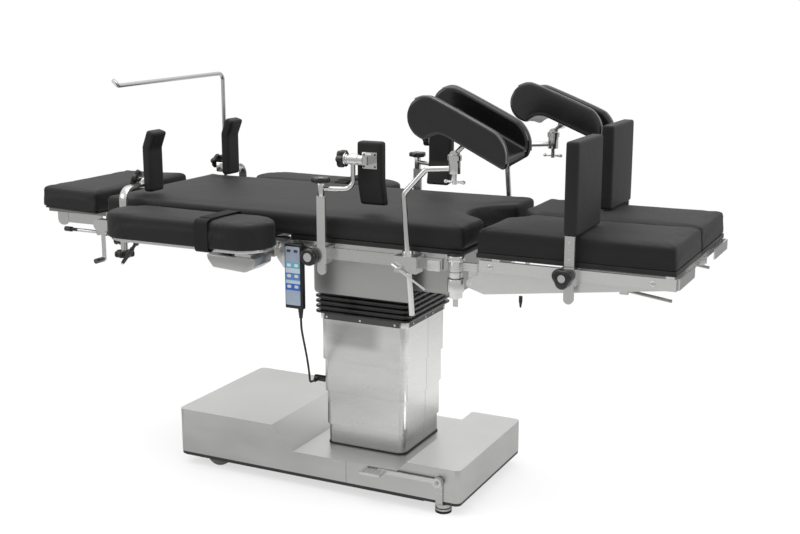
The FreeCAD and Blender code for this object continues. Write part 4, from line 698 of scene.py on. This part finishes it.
def lobed_cap(name, centre, axis, valley, lobe, count, thick, body, material, roll=0.0):
    """A moulded clamp knob: a lobed rim with round edges and a dished hub."""
    bm = bmesh.new()
    turn = Vector(axis).to_track_quat("Z", "Y")
    steps = count * 14
    rings = []
    for height, share in ((0, 0.88), (0.1, 0.97), (0.22, 1), (0.74, 1), (0.9, 0.95), (1, 0.84), (1, 0.5),
                          (0.84, 0.42), (0.84, 0.2)):
        ring = []
        for i in range(steps):
            angle = math.tau * i / steps + roll
            bulge = (0.5 + 0.5 * math.cos(count * (angle - roll))) ** 0.75
            radius = (valley + (lobe - valley) * bulge if share > 0.6 else valley) * share
            ring.append(bm.verts.new(Vector(centre) + turn @ Vector(
                (radius * math.cos(angle), radius * math.sin(angle), height * thick))))
        rings.append(ring)
    for lower, upper in zip(rings, rings[1:]):
        for i in range(steps):
            j = (i + 1) % steps
            bm.faces.new((lower[i], lower[j], upper[j], upper[i]))
    bm.faces.new(rings[0])
    bm.faces.new(rings[-1])
    return mesh_piece(name, bm, material, body, 50)


knob_black = moulded("knob_black", 0.010, 0.3, 0.002, 0.06, 0.25)
webbing = Finish("webbing")
weave = webbing.noise(0.0016, 1.0, (3.0, 0.4, 0.4)) + webbing.noise(0.0016, 1.0, (0.4, 3.0, 3.0))
webbing_black = webbing.surface(Base_Color=webbing.mix(weave * 0.5, grey(0.006), grey(0.016)), Roughness=0.75,
                                Specular_IOR_Level=0.3, Normal=webbing.bump(weave, 0.5, 0.0004))
# On the arm pads the leaning line near the head end is a crease, darkened as painted shade in the crease and grooved;
# the other two lines are seams.
arm_cloth = upholstery("arm_cloth", seams_and_creases=[("X", -0.150, 0.0), ("X", -0.178, 0.5), ("X", -0.470, -0.55)])
arm_pads = {}
for name, side in (("near", -1), ("far", 1)):
    arm_pads[name] = cushion("arm_pad_" + name, stadium(-0.480, -0.132, side * 0.363, 0.078), 0.7004, 0.771,
                             arm_cloth, soft=0.012, voxel=0.005)
settle(list(arm_pads.values()), 0.002)
for name, side in (("near", -1), ("far", 1)):
    body = "arm_" + name
    y = side * 0.363
    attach(arm_pads[name], body)
    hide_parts("arm_board_" + name)
    mesh_piece("arm_plate_" + name, soften(prism(stadium(-0.480, -0.132, y, 0.064), 0.692, 0.7004), 0.001, 2,
                                           60),
               bar_steel, body)
    plate("arm_strip_" + name, (-0.412, y - 0.009), (-0.192, y + 0.009), 0.002, 0.685, 0.692, "z", bar_steel,
          body, "steel_sheet")
    band("arm_strap_" + name, round_box((y - 0.0805, 0.6895), (y + 0.0805, 0.7750), 0.012),
         round_box((y - 0.0790, 0.6910), (y + 0.0790, 0.7735), 0.0105), -0.234, -0.194, "x",
         webbing_black, body, "upholstery")
    flap = prism([(-0.236, y - 0.050), (-0.196, y - 0.056), (-0.190, y + 0.062), (-0.229, y + 0.066)], 0.7752,
                 0.7768)
    mesh_piece("arm_strap_end_" + name, soften(flap, 0.0005, 2), webbing_black, body)
    lever_start = Vector((-0.466, y + side * 0.020, 0.684))
    lever_end = Vector((-0.515, y + side * 0.024, 0.622))
    reach = lever_end - lever_start
    turned("arm_lever_" + name, lever_start, reach,
           [(-0.006, 0.008), (0.006, 0.008), (0.010, 0.0045), (0.022, 0.0045), (0.024, 0.0062), (0.030, 0.0058),
            (reach.length - 0.006, 0.0052), (reach.length - 0.003, 0.0048)], knob_black, body)
    turned("arm_lever_tip_" + name, lever_end, reach, [(-0.004, 0.0042), (0.0, 0.0042), (0.002, 0.003)],
           bright, body)
    knob_at = (-0.530, side * 0.357, 0.634)
    lobed_cap("arm_knob_" + name, knob_at, (0, 0, 1), 0.022, 0.027, 7, 0.017, body, knob_black)
    turned("arm_knob_shaft_" + name, knob_at, (0, 0, 1), [(0.015, 0.0095), (0.0585, 0.0095)], bright, body)
    fold = [(-0.241, 0.6735), (-0.238, 0.660), (-0.222, 0.640), (-0.125, 0.634), (-0.096, 0.652),
            (-0.093, 0.6735)]
    mesh_piece("arm_bracket_" + name,
               soften(prism(fold, *sorted((side * 0.300, side * 0.384)), "y"), 0.003, 2),
               housing_steel, "back")
    side_face = sorted((side * 0.2686, side * 0.2712))
    cover = [(-0.106, 0.706), (-0.104, 0.680), (-0.096, 0.655), (-0.078, 0.632), (-0.060, 0.624),
             (-0.048, 0.626),
             (-0.047, 0.706)]
    mesh_piece("hinge_cover_" + name, soften(prism(cover, *side_face, "y"), 0.0008, 2, 60),
               satin_steel("hinge_cover_steel_" + name, 0.74, 0.66, 0.3, 0.12, 0.3), "seat")
    screw_heads("hinge_bolt_" + name, [(-0.090, side * 0.2712, 0.690)], (0, side, 0), 0.0075, "seat", bright)

# Head rest: a padded board in a thin steel edge, tilted by a crank on the near side
# and freed by a lever with a black grip.

edge_ring = [(-0.950, -0.196), (-0.737, -0.222), (-0.737, 0.222), (-0.950, 0.196)]
mesh_piece("head_board", soften(prism(edge_ring, 0.7135, 0.7182), 0.001, 2, 30), board_black, "headrest")
# Head frame; a band on its sides just under the board is painted dark (painted shadow under the board).
head_steel = satin_steel("head_sheet", 0.5, 0.60, 0.3, 0.12, 0.4, zones=[
    (0.05, lambda finish: finish.axis("Z").within(0.7015, 0.7128, 0.0008) * finish.facing("Y").ramp(0.5, 0.9) * 0.6)])
dress(head_steel, "head_frame")
lever_finish = Finish("lever_steel")
grip = 1 - lever_finish.axis("X").ramp(-0.8425, -0.8415)
lever_worn = lever_finish.noise(0.01)
lever_steel = lever_finish.surface(
    Base_Color=lever_finish.mix(grip, lever_finish.mix(lever_worn, grey(0.55), grey(0.7)), grey(0.012)),
    Metallic=1 - grip, Roughness=lever_worn * 0.1 + 0.2)
dress(lever_steel, "head_release")
crank_finish = Finish("crank_steel")
handle = 1 - crank_finish.axis("Y").ramp(-0.2005, -0.1995)
crank_worn = crank_finish.noise(0.01)
dress(crank_finish.surface(
    Base_Color=crank_finish.mix(handle, crank_finish.mix(crank_worn, grey(0.6), grey(0.75)),
                                crank_finish.mix(crank_worn, grey(0.12), grey(0.2))),
    Metallic=0.95, Roughness=crank_worn * 0.1 + 0.22), "head_crank")

# Leg release levers under the leg plates, in plain bright rod.

dress(satin_steel("rod_steel", 0.45, 0.35, 0.25, 0.1, 0.4), "leg_release_near", "leg_release_far")

# Shoulder supports: firm pads whose upper part leans to the foot end, on chrome
# blocks with star knobs behind, and the clamp knobs on the rail.


def soft_block(name, bm, material, round_edge, voxel, crown=0.0, axis=0):
    """A firm pad: rounded edges, one even skin and a slight crown along one axis."""
    piece = mesh_piece(name, soften(bm, round_edge, 4, 20), material)
    remesh(piece, voxel)
    spots = places(piece)
    low, high = spots.min(axis=0), spots.max(axis=0)
    middle, half = (low + high) / 2, (high - low) / 2
    share = (spots - middle) / half
    fall = numpy.ones(len(spots))
    for other in range(3):
        if other != axis:
            fall *= numpy.clip(1 - share[:, other] ** 2, 0, 1) ** 0.6
    spots[:, axis] += crown * fall * numpy.sign(share[:, axis]) * numpy.clip(abs(share[:, axis]) * 2 - 0.6, 0, 1)
    put_places(piece, spots)
    return piece


pad_cloth = upholstery("pad_cloth", 0.011, 0.55)
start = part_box("shoulder_pads")[0].x
lean, thick = 0.018, 0.028
for name, side in (("near", -1), ("far", 1)):
    profile = [(start, 0.791), (start + thick, 0.791), (start + thick, 0.912), (start + thick + lean, 0.957),
               (start + lean, 0.965), (start, 0.918)]
    span = sorted((side * 0.162, side * 0.222))
    pad = soft_block("shoulder_pad_" + name, prism(profile, *span, "y"), pad_cloth, 0.007, 0.003, 0.0015)
    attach(pad, "back")
    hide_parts("shoulder_pads")
    plate("shoulder_block_" + name, (start - 0.030, 0.796), (start - 0.001, 0.826), 0.004,
          *sorted((side * 0.176, side * 0.206)), "y", bright, "back", "chrome", 0.002)
    knob_axis = Vector((-0.75, side * 0.25, 0.45)).normalized()
    turned("shoulder_shaft_" + name, (start - 0.022, side * 0.194, 0.816), knob_axis,
           [(0, 0.0055), (0.020, 0.0055)], bright, "back")
    lobed_cap("shoulder_knob_" + name, Vector((start - 0.022, side * 0.194, 0.816)) + knob_axis * 0.016,
              knob_axis, 0.0185, 0.0245, 5, 0.014, "back", knob_black)
    turned("shoulder_clamp_shaft_" + name, (start - 0.013, side * 0.300, 0.678), (0, side, 0),
           [(0, 0.006), (0.014, 0.006)], bright, "back")
    lobed_cap("shoulder_clamp_knob_" + name, (start - 0.013, side * 0.311, 0.678), (0, side, 0), 0.019, 0.024,
              6,
              0.018, "back", knob_black)
dress(bright, "screen_rod")

# Lateral supports: a flat post in a rail clamp, a bent arm on a sleeve, and a pad
# screwed to a plate. Each of the three joints has its own black knob.

dress(bright, "lateral_arm_near", "lateral_arm_far")
for name, side in (("near", -1), ("far", 1)):
    arm = "lateral_" + name
    out, inn, turn_in = side * 0.230, side * 0.200, side * 0.016
    profile = [(out - turn_in, 0.806), (inn - turn_in, 0.802), (inn, 0.868), (inn, 0.969), (out, 0.969),
               (out, 0.868)]
    pad = soft_block("lateral_pad_soft_" + name, prism(profile, 0.121, 0.191, "x"), pad_cloth, 0.007, 0.003,
                     0.0015, 1)
    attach(pad, arm)
    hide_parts("lateral_pad_" + name)
    screw_heads("lateral_plate_screws_" + name,
                [(x, side * 0.2340, z) for x in (0.1445, 0.1755) for z in (0.9065, 0.9375)],
                (0, side, 0), 0.0026, arm, moulded("screw_dark_" + name, 0.08, 0.3))
    lobed_cap("lateral_post_knob_" + name, (0.048, side * 0.285, 0.8665), (0, 0, 1), 0.0185, 0.0255, 5, 0.013,
              "post_" + name, knob_black, 0.3)
    lobed_cap("lateral_arm_knob_" + name, (0.1045, side * 0.256, 0.926), (-1, 0, 0), 0.0185, 0.0235, 6, 0.0195,
              arm, knob_black)
    turned("lateral_joint_" + name, (0.105, side * 0.256, 0.926), (1, 0, 0),
           [(0, 0.0135), (0.006, 0.0135), (0.007, 0.0115), (0.014, 0.0115), (0.015, 0.0140), (0.036, 0.0140),
            (0.038, 0.0120), (0.050, 0.0120)], bright, arm)
    turned("lateral_clamp_knob_" + name, (0.024, side * 0.2995, 0.676), (0, side, 0),
           [(0, 0.0205), (0.003, 0.0230), (0.014, 0.0230), (0.0195, 0.0190), (0.0205, 0.0150), (0.0190, 0.0100),
            (0.0190, 0.0040)], knob_black, "seat")

# Knee supports: a bent rod in a rail clamp, a cup with a barrel joint, and a trough
# of skinned foam with a piping along the tops of its walls, pale grey as a painted highlight on the rims.

dress(bright, "crutch_rod_near", "crutch_rod_far")
trough_long, trough_deep, trough_wall, trough_floor = 0.212, 0.070, 0.022, 0.020
lobe, lobe_back, trough_half = 0.054, 0.012, 0.075
skin = Finish("trough_skin")
skin_soft = skin.noise(0.05, 3.0)
skin_black = skin.surface(Base_Color=skin.mix(skin_soft, grey(0.006), grey(0.012)),
                          Roughness=skin_soft * 0.10 + 0.14, Specular_IOR_Level=0.6,
                          Normal=skin.bump(skin.noise(0.012, 3.0), 0.12, 0.0006))
# The piping's pale grey is a painted highlight along the tops of the walls.
piping_painted_highlight = moulded("piping", 0.16, 0.25, 0.002, 0.05, 0.4)


def arc(centre, radius, first, last, steps):
    """Points on a circle from one angle to another, in degrees."""
    return [(centre[0] + radius * math.cos(math.radians(first + (last - first) * i / steps)),
             centre[1] + radius * math.sin(math.radians(first + (last - first) * i / steps)))
            for i in range(steps + 1)]


def trough_outline(foot_top):
    """Side view of a wall: straight underside, round foot end and the lobe at the head end."""
    foot = arc((trough_long - foot_top, 0.004), foot_top, 0, 78, 12)
    foot = [(x, z * (trough_deep / foot_top) if z > 0 else z) for x, z in foot]
    crown = arc((-lobe_back, trough_deep - lobe), lobe, 90, 290, 24)
    throat = arc((0.052, -0.050), 0.050, 160, 90, 8)
    return [(trough_long - 0.004, 0.0)] + foot + crown + throat


def floor_outline():
    """Side view of the floor between the walls, which rolls over the lobe."""
    roof = [(trough_long - 0.006, trough_floor), (0.030, trough_floor)]
    roof += arc((0.012, -0.014), 0.036, 95, 170, 8)
    return [(trough_long - 0.002, 0.0)] + roof + [(-0.030, -0.034)] + arc((0.052, -0.050), 0.050, 160, 90, 8)


for name, side, where, slope in (("near", -1, (0.376, -0.268, 1.034), 26), ("far", 1, (0.424, 0.268, 1.018), 22)):
    turn = Matrix.Rotation(math.radians(slope), 4, "Y") @ Matrix.Rotation(math.radians(-side * 7), 4, "X")
    seat = Matrix.Translation(where) @ turn
    joined = bmesh.new()
    for outline, low, high in ((trough_outline(0.075), -trough_half, -trough_half + trough_wall),
                               (trough_outline(0.075), trough_half - trough_wall, trough_half),
                               (floor_outline(), -trough_half + 0.002, trough_half - 0.002)):
        part = prism(outline, low, high, "y")
        part.to_mesh(spare := bpy.data.meshes.new("spare"))
        part.free()
        joined.from_mesh(spare)
        bpy.data.meshes.remove(spare)
    trough = mesh_piece("trough_" + name, joined, skin_black)
    remesh(trough, 0.0035)
    smooth = trough.modifiers.new("smooth", "SMOOTH")
    smooth.iterations = 14
    smooth.factor = 0.6
    bpy.context.view_layer.update()
    data = bpy.data.meshes.new_from_object(trough.evaluated_get(bpy.context.evaluated_depsgraph_get()))
    trough.modifiers.clear()
    trough.data = data
    data.transform(seat)
    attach(trough, "trough_" + name)
    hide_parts("crutch_trough_" + name)
    rim = [(x, z) for x, z in trough_outline(0.075)[1:] if x > -0.060 and z > 0.012]
    for label, y in (("outer", -trough_half + 0.004), ("inner", trough_half - 0.004)):
        route = [seat @ Vector((x, y, z - 0.0006)) for x, z in rim[::2]]
        piping = smooth_curve("piping_%s_%s" % (label, name), route, 0.0022, piping_painted_highlight, 3)
        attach(piping, "trough_" + name)
    lean = math.radians(4.3)
    foot_x = {"near": 0.296, "far": 0.341}[name]
    pivot = Vector((foot_x - math.sin(lean) * 0.165 + 0.135, side * 0.290,
                    0.690 + math.cos(lean) * 0.165 + 0.070 + 0.034))
    stem = seat @ Vector((0.4 * trough_long, 0, 0.004)) - pivot
    far = stem.length
    turned("trough_stem_" + name, pivot, stem,
           [(0.004, 0.0058), (0.030, 0.0058), (0.032, 0.0085), (far - 0.020, 0.0085), (far - 0.018, 0.0110),
            (far - 0.002, 0.0110)], bright, "trough_" + name)
    turned("trough_barrel_" + name, pivot - Vector((0, 0.009, 0)), (0, 1, 0), [(0, 0.0098), (0.018, 0.0098)],
           bright, "trough_" + name)
    turned("trough_bolt_" + name, pivot + stem * 0.86 - Vector((0, 0.014, 0)), (0, 1, 0),
           [(0, 0.0045), (0.028, 0.0045)], bright, "trough_" + name, 6)
    turned("cup_ring_" + name, pivot + Vector((0, 0, -0.001)), (0, 0, -1),
           [(0, 0.0150), (0.001, 0.0168), (0.013, 0.0168), (0.014, 0.0145)], bright, "crutch_" + name)
    for end in (-1, 1):
        turned("handle_ball_%s_%d" % (name, end + 1), (pivot.x + end * 0.022, pivot.y, pivot.z - 0.066),
               (end, 0, 0),
               [(-0.004, 0.0030), (-0.002, 0.0046), (0.002, 0.0048), (0.005, 0.0030)], bright,
               "crutch_" + name)

# Foot boards: a flat steel bar on the leg rail with a padded board on it, held by a
# clamp with a black three-sided knob.

for name, side, x in (("near", -1, 0.708), ("far", 1, 0.676)):
    span = sorted((side * 0.098, side * 0.287))
    block = prism([(x - 0.016, span[0]), (x + 0.016, span[0]), (x + 0.016, span[1]), (x - 0.016, span[1])],
                  0.784, 1.003)
    pad = soft_block("foot_board_pad_" + name, block, pad_cloth, 0.004, 0.004, 0.002, 0)
    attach(pad, "foot_" + name)
    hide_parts("foot_pad_" + name)
    screw_heads("foot_bar_screws_" + name, [(x, side * 0.285, z) for z in (0.728, 0.768)], (0, side, 0), 0.0025,
                "foot_" + name, bright)
    lobed_cap("foot_knob_" + name, (x - 0.010, side * 0.2905, 0.687), (0, side, 0), 0.0200, 0.0265, 3, 0.0205,
              "leg_" + name, knob_black, 0.5)

# Hand controller: a black moulded case with a pale blue key face in plain bands of
# colour and two dark keys near the top.

dress(moulded("controller_black", 0.010, 0.4), "handset")
dress(moulded("plug_black", 0.012, 0.3, 0.002, 0.06, 0.3), "cord_socket", "cord_plug")
face = Finish("key_face")
height = face.axis("Z")
shade = face.mix(face.noise(0.02), (0.36, 0.43, 0.55), (0.46, 0.53, 0.64))
for low, high, tone in ((0.612, 0.652, (0.70, 0.80, 0.88)), (0.637, 0.652, (0.16, 0.55, 0.78)),
                        (0.606, 0.624, (0.12, 0.30, 0.66)), (0.578, 0.596, (0.04, 0.16, 0.58)),
                        (0.596, 0.604, (0.62, 0.74, 0.88))):
    shade = face.mix(height.within(low, high, 0.0004), shade, tone)
print_face = face.surface(Base_Color=shade, Roughness=face.noise(0.004) * 0.1 + 0.3, Specular_IOR_Level=0.4)
plate("key_panel", (-0.0575, 0.538), (-0.0145, 0.694), 0.003, -0.2928, -0.2916, "y", print_face, "seat",
      "black_plastic", 0.0003)
key_dark = moulded("key_dark", 0.05, 0.4)
for index, x in enumerate((-0.047, -0.026)):
    plate("mode_key_%d" % index, (x - 0.006, 0.679), (x + 0.006, 0.686), 0.003, -0.2934, -0.2927, "y", key_dark,
          "seat", "black_plastic", 0.0002)
key_pale = moulded("key_pale", 0.75, 0.4)
for row, z in enumerate((0.645, 0.616, 0.588)):
    for column, x in enumerate((-0.047, -0.025)):
        plate("key_%d_%d" % (row, column), (x - 0.006, z - 0.004), (x + 0.006, z + 0.004), 0.003, -0.2934,
              -0.2927,
              "y", key_pale, "seat", "black_plastic", 0.0002)
